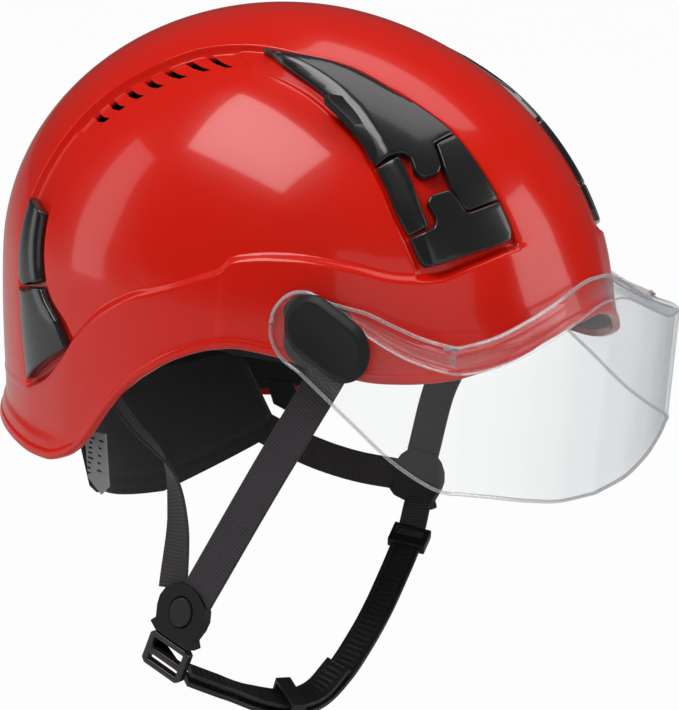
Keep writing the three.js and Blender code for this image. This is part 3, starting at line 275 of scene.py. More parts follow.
def clear(name="clear_visor", veil=0.4, base=0.035):
    m = bpy.data.materials.new(name); m.use_nodes = True; nt = m.node_tree; L = nt.links.new
    for n in list(nt.nodes): nt.nodes.remove(n)
    out = N(nt, "ShaderNodeOutputMaterial"); tr = N(nt, "ShaderNodeBsdfTransparent"); tr.inputs[0].default_value = (0.965, 0.972, 0.975, 1)
    gl = N(nt, "ShaderNodeBsdfGlossy"); gl.inputs["Roughness"].default_value = 0.04
    lw = N(nt, "ShaderNodeLayerWeight"); lw.inputs[0].default_value = 0.5
    pw = N(nt, "ShaderNodeMath", operation="POWER"); pw.inputs[1].default_value = 3.0; L(lw.outputs["Facing"], pw.inputs[0])
    mul = N(nt, "ShaderNodeMath", operation="MULTIPLY_ADD"); mul.inputs[1].default_value = 0.62; mul.inputs[2].default_value = base; mul.use_clamp = True; L(pw.outputs[0], mul.inputs[0])
    tint = N(nt, "ShaderNodeMix", data_type="RGBA"); tint.inputs[6].default_value = (0.988, 0.991, 0.992, 1); tint.inputs[7].default_value = (0.66, 0.70, 0.73, 1)
    L(pw.outputs[0], tint.inputs[0]); L(tint.outputs[2], tr.inputs[0])
    tc = N(nt, "ShaderNodeTexCoord"); ns = N(nt, "ShaderNodeTexNoise", Scale=7.0, Detail=2.0); L(tc.outputs["Object"], ns.inputs["Vector"])
    bp = N(nt, "ShaderNodeBump", Strength=0.05, Distance=0.001); L(ns.outputs["Fac"], bp.inputs["Height"]); L(bp.outputs[0], gl.inputs["Normal"])
    mix = N(nt, "ShaderNodeMixShader"); df = N(nt, 'ShaderNodeBsdfDiffuse'); df.inputs[0].default_value = (0.86, 0.88, 0.9, 1); vm = N(nt, 'ShaderNodeMixShader'); vm.inputs[0].default_value = veil; L(gl.outputs[0], vm.inputs[1]); L(df.outputs[0], vm.inputs[2]); L(mul.outputs[0], mix.inputs[0]); L(tr.outputs[0], mix.inputs[1]); L(vm.outputs[0], mix.inputs[2]); L(mix.outputs[0], out.inputs[0])
    return m


CLEAR = clear()
CLEAR_EDGE = clear("clear_visor_edge", 0.55, 0.30)

# ------------------------------------------------------------------ shell
def build_shell():
    wall = [-0.8, -0.35, 0.15, 0.65, 1.15, 1.6]
    n_in, n_ch, n_side = ((16, 12, 56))
    rows = 210
    # column recipe: list of (kind, parameter)
    cols = [("in", f) for f in np.linspace(0, 1, n_in, endpoint=False)] + [("b", w) for w in wall]
    cols += [("c", f) for f in np.linspace(0, 1, n_ch + 2)[1:-1]] + [("s", -w) for w in wall[::-1]]
    cols += [("o", 1 - (1 - f) ** 1.25) for f in np.linspace(0, 1, n_side + 1)[1:]]
    K = len(cols); lo, hi = 60.0, 130.0
    for _ in range(50):
        m = (lo + hi) / 2; q = np.array([m, POLE[0], POLE[1]])
        if level(q) > 0: hi = m
        else: lo = m
    PX = lo
    def coef(c):                         # |x| = k0 * band + k1 * side + k2 for each column
        k, v = c
        return {"in": (v, 0, -0.8 * v), "b": (1, 0, v), "s": (0, 1, v), "c": (1 - v, v, 1.6 - 3.2 * v), "o": (0, 1 - v, 0.8 * (1 - v) + PX * v)}[k]
    CF = np.array([coef(c) for c in cols])
    def X_at(i, th): return CF[i, 0] * band(th) + CF[i, 1] * side(th) + CF[i, 2]
    def pt(i, th):
        p = chart(np.minimum(X_at(i, th), PX), th)
        for _ in range(4): p = chart(np.minimum(X_at(i, np.clip(centre_angle(p), 0, 215)), PX), th)
        return p
    def ends_of(rear):
        i = np.arange(K - 1); lo, hi = np.full(K - 1, 90.0), np.full(K - 1, 250.0 if rear else -50.0)
        for _ in range(26):
            m = (lo + hi) / 2; q = pt(i, m); below = q[:, 2] < skirt(plan_angle(q)); hi = np.where(below, m, hi); lo = np.where(below, lo, m)
        return (lo + hi) / 2
    # rows as fractions; extra rows are placed by angle so slot edges fall on rows
    P = np.zeros((K, rows + 1, 3))
    marks = []
    for th in SLOTS: marks += [th - 1.3, th - 1.0, th + 1.0, th + 1.3]
    marks += [91.0, 91.9, 140.6, 141.5]
    E0, E1 = ends_of(False), ends_of(True); P[K - 1] = [PX, POLE[0], POLE[1]]
    # a shared row angle table (about the dome centre) for the columns in and near the channel
    mk = np.sort(np.array(marks)); fr = np.linspace(0, 1, rows + 1)
    # warp the uniform fractions so that rows sit on the marks for a middle channel column
    mid = n_in + len(wall) + n_ch // 2; lo_, hi_ = np.zeros(len(mk)), np.ones(len(mk))
    for _ in range(30):                  # fraction whose point has the marked centre angle on a middle channel column
        m = (lo_ + hi_) / 2; q = pt(np.full(len(mk), mid), E0[mid] + (E1[mid] - E0[mid]) * m); low_ = centre_angle(q) < mk; lo_ = np.where(low_, m, lo_); hi_ = np.where(low_, hi_, m)
    fm = (lo_ + hi_) / 2; fr2 = fr.copy(); used = {}
    for f, t in zip(fm, mk):
        j = int(round(f * rows))
        while j in used: j += 1
        used[j] = f
    js = np.array(sorted(used)); fs = np.array([used[j] for j in js])
    fr2 = np.interp(np.arange(rows + 1), np.r_[0, js, rows], np.r_[0, fs, 1])
    row_mark = {round(float(t), 2): int(js[np.argmin(np.abs(fs - f))]) for f, t in zip(fm, mk)}
    ii = np.arange(K - 1)[:, None]; P[:-1] = pt(np.broadcast_to(ii, (K - 1, rows + 1)), E0[:, None] + (E1 - E0)[:, None] * fr2[None])
    # the slots lean: rows slide along the shell in the channel, more the further they lie from its middle
    TU = centre_angle(P[:-1]); X0 = np.abs(P[:-1, :, 0]); b0, s0 = band(TU), side(TU)
    W = sm((X0 - b0 + 3) / 3) * sm((s0 + 8 - X0) / 5) * sm((TU - 84) / 10) * sm((152 - TU) / 12)
    T2 = TU - np.interp(TU, [98, 111, 130], [0.85, 0.68, 0.47]) * (X0 - b0 - 0.42 * (s0 - b0)) * W
    lean = W > 0; ki = np.broadcast_to(ii, TU.shape)[lean]; t2 = T2[lean]
    P[:-1][lean] = chart_c(CF[ki, 0] * band(t2) + CF[ki, 1] * side(t2) + CF[ki, 2], t2)
    # offsets
    thc = np.clip(centre_angle(P), 0, 215); X = np.abs(P[..., 0]); b, s = band(thc), side(thc); TU = np.concatenate([TU, TU[-1:]])
    d = -CH * sm((X - b + 0.6) / 2.0) + (CH - SD) * sm((X - s + 1.4) / 2.0)
    inpanel = sm((X - b - 1.3) / 0.7) * sm((b + 1.02 * (s - b) - 0.6 - X) / 0.7) * sm((TU - 91.0) / 0.9) * sm((141.5 - TU) / 0.9)
    d = d - 0.9 * inpanel
    d = d + 0.35 * sm((X - s - 1) / 10) * sm((150 - thc) / 40)       # side dome swells a little behind the channel
    d[-1] = d[-2].mean()
    rows_low = np.array([0.5, 1.1, 1.7, 2.4, 3.1, 3.8, 4.5, 5.2, 6.2, 7.6])
    half = [(P[k], d[k]) for k in range(K)]
    cols_full = [(np.array([-1, 1, 1]) * half[k][0], half[k][1]) for k in range(K - 1, 0, -1)] + half
    C = len(cols_full); G = np.stack([c[0] for c in cols_full], 1); D = np.stack([c[1] for c in cols_full], 1)   # [rows+1, C]
    ringP = np.concatenate([G[0], G[-1][-2:0:-1]]); ringD = np.concatenate([D[0], D[-1][-2:0:-1]])
    A = plan_angle(ringP); sx = np.where(ringP[:, 0] < 0, -1.0, 1.0); zs = ringP[:, 2]; zr = rim(A); st = step_c(A); fl = flare(A)
    zrow = [zs - q for q in rows_low]; left = zrow[-1] - zr - 5.0
    for f in np.linspace(1, 0, 13)[1:]: zrow.append(zr + 5.0 + left * f)
    for q in (4.4, 4.0, 3.4, 2.6, 1.8, 1.1, 0.55, 0.18, 0.0): zrow.append(zr + q)
    LP, LD, LT = [], [], []
    for z in zrow:
        q = dome_at(A, z); q[:, 0] *= sx; dep = zs - z; u = np.clip(1 - (z - zr) / 26, 0, 1)
        stp = ringD + (st - ringD) * sm((dep - 0.4) / 4.2)
        bead = 0.55 * sm((4.6 - (z - zr)) / 0.9)
        rnd = -1.1 * np.clip(1 - (z - zr) / 1.1, 0, 1) ** 2
        crease = -0.7 * sm((A - 18) / 8) * sm((z - zr - 9) / 2.0) * sm((zs - 2 - z) / 4)
        LP.append(q); LD.append(stp + fl * u * u + bead + rnd + crease); LT.append(sm(1 - (z - zr) / 30))
    LP, LD, LT = np.array(LP), np.array(LD), np.array(LT)
    up_n, lo_n = normal(G), normal(LP)
    # the pole is a single point: give every row there the same normal
    VO = G + up_n * D[..., None]; VI = G - up_n * (INN + 0.9 * 0) * np.ones_like(D)[..., None]
    LO = LP + lo_n * LD[..., None]
    din = -INN * (1 - LT) + LT * (st + fl - 3.0); LI = LP + lo_n * din[..., None]
    R = rows + 1; nr = len(ringP)
    V = np.concatenate([VO.reshape(-1, 3), VI.reshape(-1, 3), LO.reshape(-1, 3), LI.reshape(-1, 3)])
    oI, oLO = R * C, 2 * R * C; oLI = oLO + len(zrow) * nr
    # slot cells
    hole = np.zeros((R - 1, C - 1), bool); kb = n_in + len(wall); ch_cols = range(kb, kb + n_ch - 1)
    nch = n_ch
    for t in SLOTS:
        j0, j1 = row_mark[round(t - 1.0, 2)], row_mark[round(t + 1.0, 2)]
        for k in range(kb, kb + nch - 2):
            for i in (K - 1 + k, K - 1 - k - 1): hole[j0:j1, i] = True
    F = []
    for j in range(R - 1):
        for i in range(C - 1):
            a, b_, c_, d_ = j * C + i, j * C + i + 1, (j + 1) * C + i + 1, (j + 1) * C + i
            if not hole[j, i]: F.append((a, b_, c_, d_)); F.append((oI + a, oI + d_, oI + c_, oI + b_))
            else:
                for (jj, ii, p, q) in ((j - 1, i, a, b_), (j + 1, i, c_, d_), (j, i - 1, d_, a), (j, i + 1, b_, c_)):
                    if not hole[jj, ii]: F.append((q, p, oI + p, oI + q))
    idx = [i for i in range(C)] + [(R - 1) * C + i for i in range(C - 2, 0, -1)]
    def strips(top, base0):
        prev = top
        for k in range(len(zrow)):
            cur = [base0 + k * nr + i for i in range(nr)]
            for i in range(nr): F.append((prev[i], cur[i], cur[(i + 1) % nr], prev[(i + 1) % nr]) if base0 == oLO else (prev[i], prev[(i + 1) % nr], cur[(i + 1) % nr], cur[i]))
            prev = cur
        return prev
    ro = strips(idx, oLO); ri = strips([oI + i for i in idx], oLI)
    for i in range(nr): F.append((ro[i], ri[i], ri[(i + 1) % nr], ro[(i + 1) % nr]))
    o = make("shell_visual", V, F, RED, "helmet", "shell", sharp=60)
    # the wall faces of the slots are in deep shadow; they get a dark red that paints this shadow (painted shade)
    me = o.data; me.materials.append(SLOT_SHADE); n = len(me.polygons)
    cc = np.zeros(n * 3); me.polygons.foreach_get("center", cc); cc = cc.reshape(-1, 3) * 1000 + ORG
    cn = np.zeros(n * 3); me.polygons.foreach_get("normal", cn); cn = cn.reshape(-1, 3)
    th = centre_angle(cc); ax = np.abs(cc[:, 0]); dn = np.abs((cn * normal(cc)).sum(1)); slot_shade_faces = (cc[:, 2] > 50) & (th > 92) & (th < 140) & (((dn < 0.3) & (ax > band(th) + 0.4) & (ax < side(th) + 3)) | ((dn < 0.62) & (ax > band(th) + 2.3) & (ax < side(th) - 1.6)))
    me.polygons.foreach_set("material_index", slot_shade_faces.astype(np.int32)); me.update()
    return o


build_shell()


def build_skirt():
    n = 240; a = np.arange(n) / n * 2 * np.pi - np.pi; A = np.degrees(np.arcsin(np.sin(a))); sx = np.where(np.cos(a) < 0, -1.0, 1.0); zr, st, fl = rim(A), step_c(A), flare(A)
    zz = [3.2, 3.8, 5, 8, 12, 17, 22, 28, 34, 35.2, 35.8]; out, inn = [], []
    for q in zz:
        z = zr + q; P = dome_at(A, z); P[:, 0] *= sx; k = sm(1 - q / 30); din = -INN * (1 - k) + k * (st + fl - 3.0); nn = normal(P); e = 0.7 * np.clip(1 - min(q - 3.2, 35.8 - q) / 0.6, 0, 1)
        out.append(P + nn * (din - 0.45 - e)[:, None]); inn.append(P + nn * (din - 2.6 + e)[:, None])
    L2 = out + inn[::-1]; m = len(L2); V = np.concatenate(L2); F = []
    for j in range(m):
        for i in range(n): b0, b1 = j * n + i, j * n + (i + 1) % n; c0, c1 = ((j + 1) % m) * n + i, ((j + 1) % m) * n + (i + 1) % n; F.append((b0, b1, c1, c0))
    make("liner_skirt_foam", V, F, FOAM, "helmet", None, sharp=60)


build_skirt()


# ------------------------------------------------------------------ vent covers: outlined patches on the shell
def round_poly(pts, r):
    P = np.array(pts, float); n = len(P); out = []
    for i in range(n):
        a, b, c = P[i - 1], P[i], P[(i + 1) % n]; la, lc = np.linalg.norm(a - b), np.linalg.norm(c - b)
        if la < 1e-6 or lc < 1e-6: continue
        ua, uc = (a - b) / la, (c - b) / lc; k = min(r, la * 0.45, lc * 0.45)
        if np.dot(ua, uc) < -0.985 or k < 0.05: out.append(b); continue
        p, q = b + ua * k, b + uc * k
        for t in np.linspace(0, 1, 5): out.append((1 - t) ** 2 * p + 2 * t * (1 - t) * b + t * t * q)
    return np.array(out)


def densify(P, h):
    out = []
    for i in range(len(P)):
        a, b = P[i], P[(i + 1) % len(P)]; m = max(1, int(np.ceil(np.linalg.norm(b - a) / h)))
        for j in range(m): out.append(a + (b - a) * j / m)
    return np.array(out)


def area2(P): return 0.5 * np.sum(P[:, 0] * np.roll(P[:, 1], -1) - np.roll(P[:, 0], -1) * P[:, 1])


def inset(P, d):
    if area2(P) < 0: P = P[::-1]
    e = np.roll(P, -1, 0) - P; n = np.stack([-e[:, 1], e[:, 0]], 1); n /= np.maximum(np.linalg.norm(n, axis=1, keepdims=True), 1e-9)
    m = n + np.roll(n, 1, 0); m /= np.maximum(np.linalg.norm(m, axis=1, keepdims=True), 1e-9)
    k = np.clip(1 / np.maximum(np.sum(m * n, 1), 0.5), 1, 1.6)
    return P + m * (d * k)[:, None]


def dist_to(P, Q):
    A, B = P, np.roll(P, -1, 0); best = np.full(len(Q), 1e9)
    for a, b in zip(A, B):
        ab = b - a; t = np.clip(((Q - a) @ ab) / max(ab @ ab, 1e-12), 0, 1); best = np.minimum(best, np.linalg.norm(Q - a - t[:, None] * ab, axis=1))
    return best


def inside(P, Q):
    x, y = Q[:, 0], Q[:, 1]; r = np.zeros(len(Q), bool); A, B = P, np.roll(P, -1, 0)
    for a, b in zip(A, B):
        c = (a[1] > y) != (b[1] > y)
        with np.errstate(divide="ignore", invalid="ignore"): xi = (b[0] - a[0]) * (y - a[1]) / (b[1] - a[1]) + a[0]
        r ^= c & (x < xi)
    return r


TS = 1.92


def patch(name, outline, top, mat, node, low=-2.12, gap=0.22, rad=0.9, edge=0.8, corner=1.1, step=1.1, body="helmet", sides=(1, -1), names=None):
    P = np.array(outline, float); P[:, 1] *= TS; P = inset(round_poly(P, corner), gap); P = densify(P, 0.8)
    rings = [inset(P, q) for q in (0.22, 0.5, rad)]
    lo, hi = P.min(0), P.max(0); gx, gy = np.meshgrid(np.arange(lo[0], hi[0], step), np.arange(lo[1], hi[1], step)); g = np.stack([gx.ravel(), gy.ravel()], 1); g[::1, 0] += 0.0
    g = g[inside(P, g)]; g = g[dist_to(P, g) > rad + 0.45]
    extra = []
    for q, r in zip(rings, (0.22, 0.5, rad)):
        d = dist_to(P, q); extra.append(q[inside(P, q) & (d > r * 0.8)])
    pts = np.concatenate([P] + extra + [g]); n = len(P)
    res = delaunay_2d_cdt([Vector(p) for p in pts], [(i, (i + 1) % n) for i in range(n)], [list(range(n))], 1, 1e-5)
    V2 = np.array([tuple(v) for v in res[0]]); T = [tuple(f) for f in res[2]]
    keep = inside(P, np.array([V2[list(t)].mean(0) for t in T])); T = [t for t, k in zip(T, keep) if k]
    d = dist_to(P, V2); d[d < 1e-4] = 0
    cnt = {}
    for t in T:
        for a, b in zip(t, t[1:] + t[:1]): cnt[(min(a, b), max(a, b))] = cnt.get((min(a, b), max(a, b)), 0) + 1
    X, th = V2[:, 0], V2[:, 1] / TS; base = chart_c(X, th); nn = normal(base)
    f = np.clip(1 - d / rad, 0, 1); h = top(X, th) - edge * (1 - np.sqrt(np.maximum(0, 1 - f * f)))
    VT, VB = base + nn * h[:, None], base + nn * low; m = len(V2); F = []
    for t in T:
        F.append(t); F.append(tuple(m + i for i in reversed(t)))
    for t in T:
        for a, b in zip(t, t[1:] + t[:1]):
            if cnt[(min(a, b), max(a, b))] == 1: F.append((b, a, m + a, m + b))
    V = np.concatenate([VT, VB]); objs = []
    for s in sides:
        W = V.copy(); W[:, 0] *= s
        sd = "L" if s > 0 else "R"
        objs.append(make(name + "_" + sd, W, F, mat, body, node + "_" + sd if node else None, sharp=44))
    return objs


ridge = Curve([[15, 64], [24, 62.8], [30, 62.0], [36, 60.6], [42.8, 59.5], [47.1, 58.0], [51.1, 56.6], [56.1, 54.4], [60.8, 53.2], [67.7, 52.0], [73.5, 51.3], [79.7, 50.9], [86.7, 50.6], [90, 50.4]])
facet = Curve([[15, 36], [40, 35.6], [44.6, 36.2], [50, 38.4], [57, 42.2], [70.6, 45.2], [80, 49.0], [86, 49.9], [90, 50.0]])
cin = lambda th: band(th) + 1.15
cout = lambda th: side(th) - 1.15


def front_top(X, th):
    r, f, a = ridge(th), facet(th), cin(th); o = np.where(th > 60, np.interp(th, [60, 62.9, 66.9, 70.6, 75.5, 80, 83.6, 87.5], [60.4, 58.4, 57.4, 56.7, 55.6, 54.0, 51.8, 50.9]), cout(th))
    hf, hr = 2.3, 3.3; k = sm((th - 40) / 14)
    inner = (1.9 * (1 - k) + 0.9 * k) + (hf - (1.9 * (1 - k) + 0.9 * k)) * np.clip((X - a) / np.maximum(f - a, 0.6), 0, 1)
    mid = hf + (hr - hf) * np.clip((X - f) / np.maximum(r - f, 0.5), 0, 1)
    outer = hr - (hr - 0.1) * np.clip((X - r) / np.maximum(o - r, 0.5), 0, 1) ** 1.15
    h = np.where(X < f, inner, np.where(X < r, mid, outer))
    return h * (1 - 0.45 * sm((th - 76) / 11))


tip_out = [[50.4, 87.2], [51.8, 83.6], [54.0, 80.0], [55.6, 75.5], [56.7, 70.6], [57.4, 66.9], [58.4, 62.9], [60.4, 60.2]]
inner_edge = lambda a, b, n: [[float(cin(t)), t] for t in np.linspace(a, b, n)]
outer_edge = lambda a, b, n: [[float(cout(t)), t] for t in np.linspace(a, b, n)]
blade = [[49.0, 87.6]] + tip_out + outer_edge(57.5, 42.3, 9) + [[60.3, 42.5], [56.0, 41.9], [55.0, 40.4], [56.6, 37.0], [55.5, 34.9], [49.9, 34.7], [47.7, 35.6], [44.4, 40.8]] + inner_edge(41.2, 86.0, 18)
block = [[44.2, 40.8], [47.5, 35.4], [49.1, 30.9], [49.0, 27.0], [47.8, 25.9]] + inner_edge(26.4, 41.1, 7)
lower = [[47.9, 25.7], [48.9, 30.0], [50.0, 31.1], [56.4, 31.2], [58.6, 30.0], [58.5, 26.4], [60.2, 24.5], [float(cout(24)), 23.9]] + outer_edge(22, 18.2, 3) + [[66.2, 16.7], [61, 17.0], [52.6, 17.8], [43.3, 18.3], [36.4, 18.9]] + inner_edge(20.6, 26.3, 4)
stripo = [[57.2, 41.6], [58.9, 35.0], [60.4, 30.0], [61.2, 25.0], [float(cout(24.3)), 24.2]] + outer_edge(26, 42.0, 8)
BLADE = patch("front_vent_blade", blade, front_top, BLACK_G, "front_vent_blade")
patch("front_vent_block", block, lambda X, th: front_top(X, th), BLACK_G, "front_vent_block")
patch("front_vent_clip", lower, lambda X, th: front_top(X, th) - 0.1, BLACK_G, "front_vent_clip")
patch("front_vent_strip", stripo, lambda X, th: front_top(X, th) - 0.15, BLACK_G, None)


def loft(name, secs, mat, node, body="helmet", bev=0.35, cap=True, wrap=False, smooth=True, sharp=38):
    S = [np.array(s, float) for s in secs]; n = len(S[0]); V = np.concatenate(S); F = []
    for j in range(len(S) - 1):
        for i in range(n): a, b = j * n + i, j * n + (i + 1) % n; F.append((a, b, b + n, a + n))
    F.append(tuple(range(n - 1, -1, -1))); F.append(tuple((len(S) - 1) * n + i for i in range(n)))
    o = make(name, V, F, mat, body, node, sharp=sharp)
    if bev: bevel(o, bev, 3)
    return o


for s, sd in ((1, "L"), (-1, "R")):          # lamp-strap fin standing along the outer edge of each front cover
    secs = []
    for th in np.linspace(61.2, 43.4, 15):
        f = (61.2 - th) / (61.2 - 43.4); h = 6.2 * (1 - f) ** 0.8 + 0.9; r = float(ridge(th)); o = float(cout(th)) if th < 60 else 59.6
        q = [chart_c(np.array(x), np.array(t)) for x, t in ((r + 1.2, th), (o - 0.15, th), (o + 0.3 + 1.6 * (1 - f), th + 1.2 * (1 - f)), (o - 1.5 + 1.2 * (1 - f), th + 1.2 * (1 - f)))]
        nn = [normal(p) for p in q]; sec = [q[0] + nn[0] * 1.4, q[1] + nn[1] * 0.2, q[2] + nn[2] * h, q[3] + nn[3] * (h + 0.1)]
        secs.append([[s * p[0], p[1], p[2]] for p in sec])
    loft("lamp_fin_" + sd, secs, BLACK_G, "headlamp_clip_" + sd, bev=0.45)


def rear_top(X, th):
    a, b = cin(th), cout(th); f = np.clip((X - a) / (b - a), 0, 1)
    return 1.0 + 2.2 * np.sin(np.pi * np.clip(f, 0.05, 0.95)) ** 0.8


rb = inner_edge(163, 184.5, 8) + [[84.0, 186.5], [86.5, 184.8], [88.2, 184.8]] + outer_edge(183.8, 166, 6) + [[84.5, 163]]
rc = inner_edge(187.2, 212, 8) + outer_edge(209, 186, 7) + [[87.5, 185.9], [84.6, 187.6]]
patch("rear_vent_blade", rb, rear_top, BLACK_G, "rear_vent_blade")
patch("rear_vent_clip", rc, rear_top, BLACK_G, "rear_vent_clip")


# ------------------------------------------------------------------ visor
def build_visor():
    side_p = [[98.6, -39.8], [98.6, -60], [98.6, -76], [98.0, -92], [97.0, -108], [95.6, -122.5]]
    front_p = [[95.6, -122.5], [94.0, -126.4], [86, -129.6], [70, -134.8], [50, -139.4], [26, -142.4], [0, -143.4]]
    top = Curve([[0, 3.6], [1.0, 8.4], [3, 12.2], [7, 16.4], [12, 18.9], [17, 19.6], [22, 18.7], [32, 14.6], [44, 10.3], [54, 6.6], [68, 2.9], [83, 1.4], [92, 1.2], [110, 3.4], [131, 9.0], [155, 16.8], [170, 21.4], [176, 22.2], [181, 22.3]])
    bot = Curve([[0, 2.6], [1.0, -2.6], [3, -6.4], [8, -10.8], [15, -13.8], [24, -18.9], [41, -29], [67, -44], [84, -49.8], [92, -51.2], [110, -54.6], [131, -59], [155, -63], [181, -64.6]])
    fbk = Curve([[0, 0], [24, 0], [32, 3.0], [44, 6.8], [55, 9.0], [71, 11.2], [84, 12.8], [95, 12.2], [110, 11.2], [131, 10], [155, 8.8], [181, 8.4]])
    path = np.array(side_p + front_p[1:], float); seg = np.r_[0, np.cumsum(np.linalg.norm(np.diff(path, axis=0), axis=1))]
    L = seg[-1]; h = 0.9; n = int(L / h); S = np.linspace(0, L, n + 1)
    S = np.unique(np.r_[S, 0.25, 0.6, 1.2, 1.9]); fx, fy = Curve(np.stack([seg, path[:, 0]], 1)), Curve(np.stack([seg, path[:, 1]], 1))
    pl = np.stack([fx(S), fy(S)], 1); pl[-1] = [0, -143.4]
    t = np.gradient(pl, S, axis=0); t[-1] = [-1, 0]; t /= np.linalg.norm(t, axis=1, keepdims=True); nrm = np.stack([-t[:, 1], t[:, 0]], 1)
    nrm = np.where((nrm * (pl - [0, -20])).sum(1, keepdims=True) < 0, -nrm, nrm)
    k = L / 181.0; zt, zb, fb = top(S / k), bot(S / k), fbk(S / k)
    lens = np.linspace(0, 1, 26)
    rows = []      # (offset outwards, z)
    hgt = zt - 3.2 * np.minimum(1, fb / 6) - zb
    bead = lambda f: 0.7 * np.exp(-((f * hgt) / 1.3) ** 2)
    for f in lens:
        z = zb + hgt * f; d = bead(f)
        ribs = 0.45 * np.clip(np.sin(S * 2 * np.pi / 2.6), 0, 1) * (sm((S / k - 52) / 2) * sm((80 - S / k) / 2)) * np.exp(-(((z - zb) - 4.2) / 2.0) ** 4) if f * hgt.max() < 14 else 0
        rows.append((2.0 + d * 0.6 + ribs, z, d))
    c = np.minimum(1, fb / 6); rise = Curve([[0, 0], [24, 0], [44, 1.5], [68, 2.6], [83, 2.8], [110, 2.8], [131, 3.0], [155, 3.4], [181, 3.6]])(S / k)
    for a, b_ in ((-0.02, -2.2), (-0.10, -1.1), (-0.25, -0.2), (-0.42, 0.5)): rows.append((2.0 + a * 3.2 * c * 2.2, zt + b_ * c, 0))
    for u in (0.2, 0.4, 0.6, 0.8, 0.92): rows.append((2.0 - 2.9 * c - (fb - 2.9 * c) * u, zt + c * 0.6 + (rise - 0.6 * c) * u**1.7, 0))
    rows.append((2.0 - fb, zt + rise + 1.1 * c, 0)); rows.append((2.0 - fb - 0.25 * c, zt + rise + 2.2 * c, 0))
    def surf(off, full):
        G = []
        for r in rows:
            d, z = r[0] * np.ones_like(S), r[1] * np.ones_like(S); G.append(np.stack([pl[:, 0] + nrm[:, 0] * d, pl[:, 1] + nrm[:, 1] * d, z], 1))
        G = np.array(G); gu = np.gradient(G, axis=1); gv = np.gradient(G, axis=0); nn = np.cross(gu, gv); nn = unit(nn)
        ref = np.concatenate([nrm, np.full((len(S), 1), 0.6)], 1)[None]; nn = np.where((nn * ref).sum(-1, keepdims=True) < 0, -nn, nn)
        return G, nn
    G, nn = surf(0, True); th = 1.9
    I = G - nn * th; half = G.shape[1]
    mir = lambda A: np.concatenate([A, (A * [-1, 1, 1])[:, -2::-1]], 1)
    GO, GI = mir(G), mir(I); R, C = GO.shape[:2]; V = np.concatenate([GO.reshape(-1, 3), GI.reshape(-1, 3)]); o2 = R * C; F = []
    for j in range(R - 1):
        for i in range(C - 1):
            a, b_, c_, d_ = j * C + i, j * C + i + 1, (j + 1) * C + i + 1, (j + 1) * C + i; F.append((a, b_, c_, d_)); F.append((o2 + a, o2 + d_, o2 + c_, o2 + b_))
    for i in range(C - 1): F.append((i, i + 1, o2 + i + 1, o2 + i)); a = (R - 1) * C + i; F.append((a, a + 1, o2 + a + 1, o2 + a))
    for j in range(R - 1):
        a = j * C; F.append((a, a + C, o2 + a + C, o2 + a)); a = j * C + C - 1; F.append((a, a + C, o2 + a + C, o2 + a))
    for nm, row, r0 in (("visor_edge_top", R - 1, 0.8), ("visor_edge_bottom", 0, 0.8), ("visor_bend", 26, 0.55)):      # thick moulded edges of the clear sheet
        cl = (GO[row] + GI[row]) / 2; tg = unit(np.gradient(cl, axis=0)); e1 = unit(np.cross(tg, [0, 0, 1.0])); e2 = np.cross(tg, e1); aa = np.arange(8) / 8 * 2 * np.pi
        secs = [cl[i] + r0 * (np.cos(aa)[:, None] * e1[i] + np.sin(aa)[:, None] * e2[i]) for i in range(len(cl))]
        FF = [(j * 8 + i, j * 8 + (i + 1) % 8, (j + 1) * 8 + (i + 1) % 8, (j + 1) * 8 + i) for j in range(len(cl) - 1) for i in range(8)] + [tuple(range(7, -1, -1)), tuple((len(cl) - 1) * 8 + i for i in range(8))]
        make(nm, np.concatenate(secs), FF, CLEAR_EDGE, "visor", None, sharp=60)
    return make("visor_lens", V, F, CLEAR, "visor", "visor", sharp=48)


build_visor()


# ------------------------------------------------------------------ pivots
def disc_secs(cx, cy, cz, prof, s, n=72, shape=None):
    out = []
    for (x, r) in prof:
        a = np.arange(n) / n * 2 * np.pi; y, z = (r * np.cos(a), r * np.sin(a)) if shape is None else shape(r, a)
        out.append(np.stack([np.full(n, s * x), cy + y, cz + z], 1))
    return out


def stadium(r, a, L=8.2, ang=math.radians(24)):
    x, y = r * np.cos(a), r * np.sin(a); x = x + np.where(np.cos(a) > 1e-9, L, np.where(np.cos(a) < -1e-9, -L, 0)); return (-(x * np.cos(ang)) + (-y * np.sin(ang)) * -1 * -1, -x * np.sin(ang) + y * np.cos(ang))


for s, sd in ((1, "L"), (-1, "R")):
    cy, cz = -69.0, 2.9
    secs = disc_secs(0, cy, cz, [(101.2, 13.2), (101.6, 13.5), (102.6, 13.5), (103.2, 13.1), (104.6, 11.0), (104.85, 10.4), (104.85, 9.7), (104.7, 9.2)], s, 96, stadium)
    o = loft("pivot_cap_" + sd, secs, BLACK_M, "pivot_cap_" + sd, bev=0, sharp=28)
    # round black base disc under the clear arm
    src = NODES["pivot_base_" + sd]
    secs = disc_secs(0, -57.4, 3.2, [(96.8, 13.4), (97.0, 15.2), (97.5, 15.7), (97.85, 15.5)], s, 72)
    loft("pivot_disc_" + sd, secs, BLACK_M, None, bev=0, sharp=30)
    copy_node("pivot_base_" + sd, BLACK_M, 0.3)
    copy_node("pivot_screw_" + sd, STEEL, 0.25)


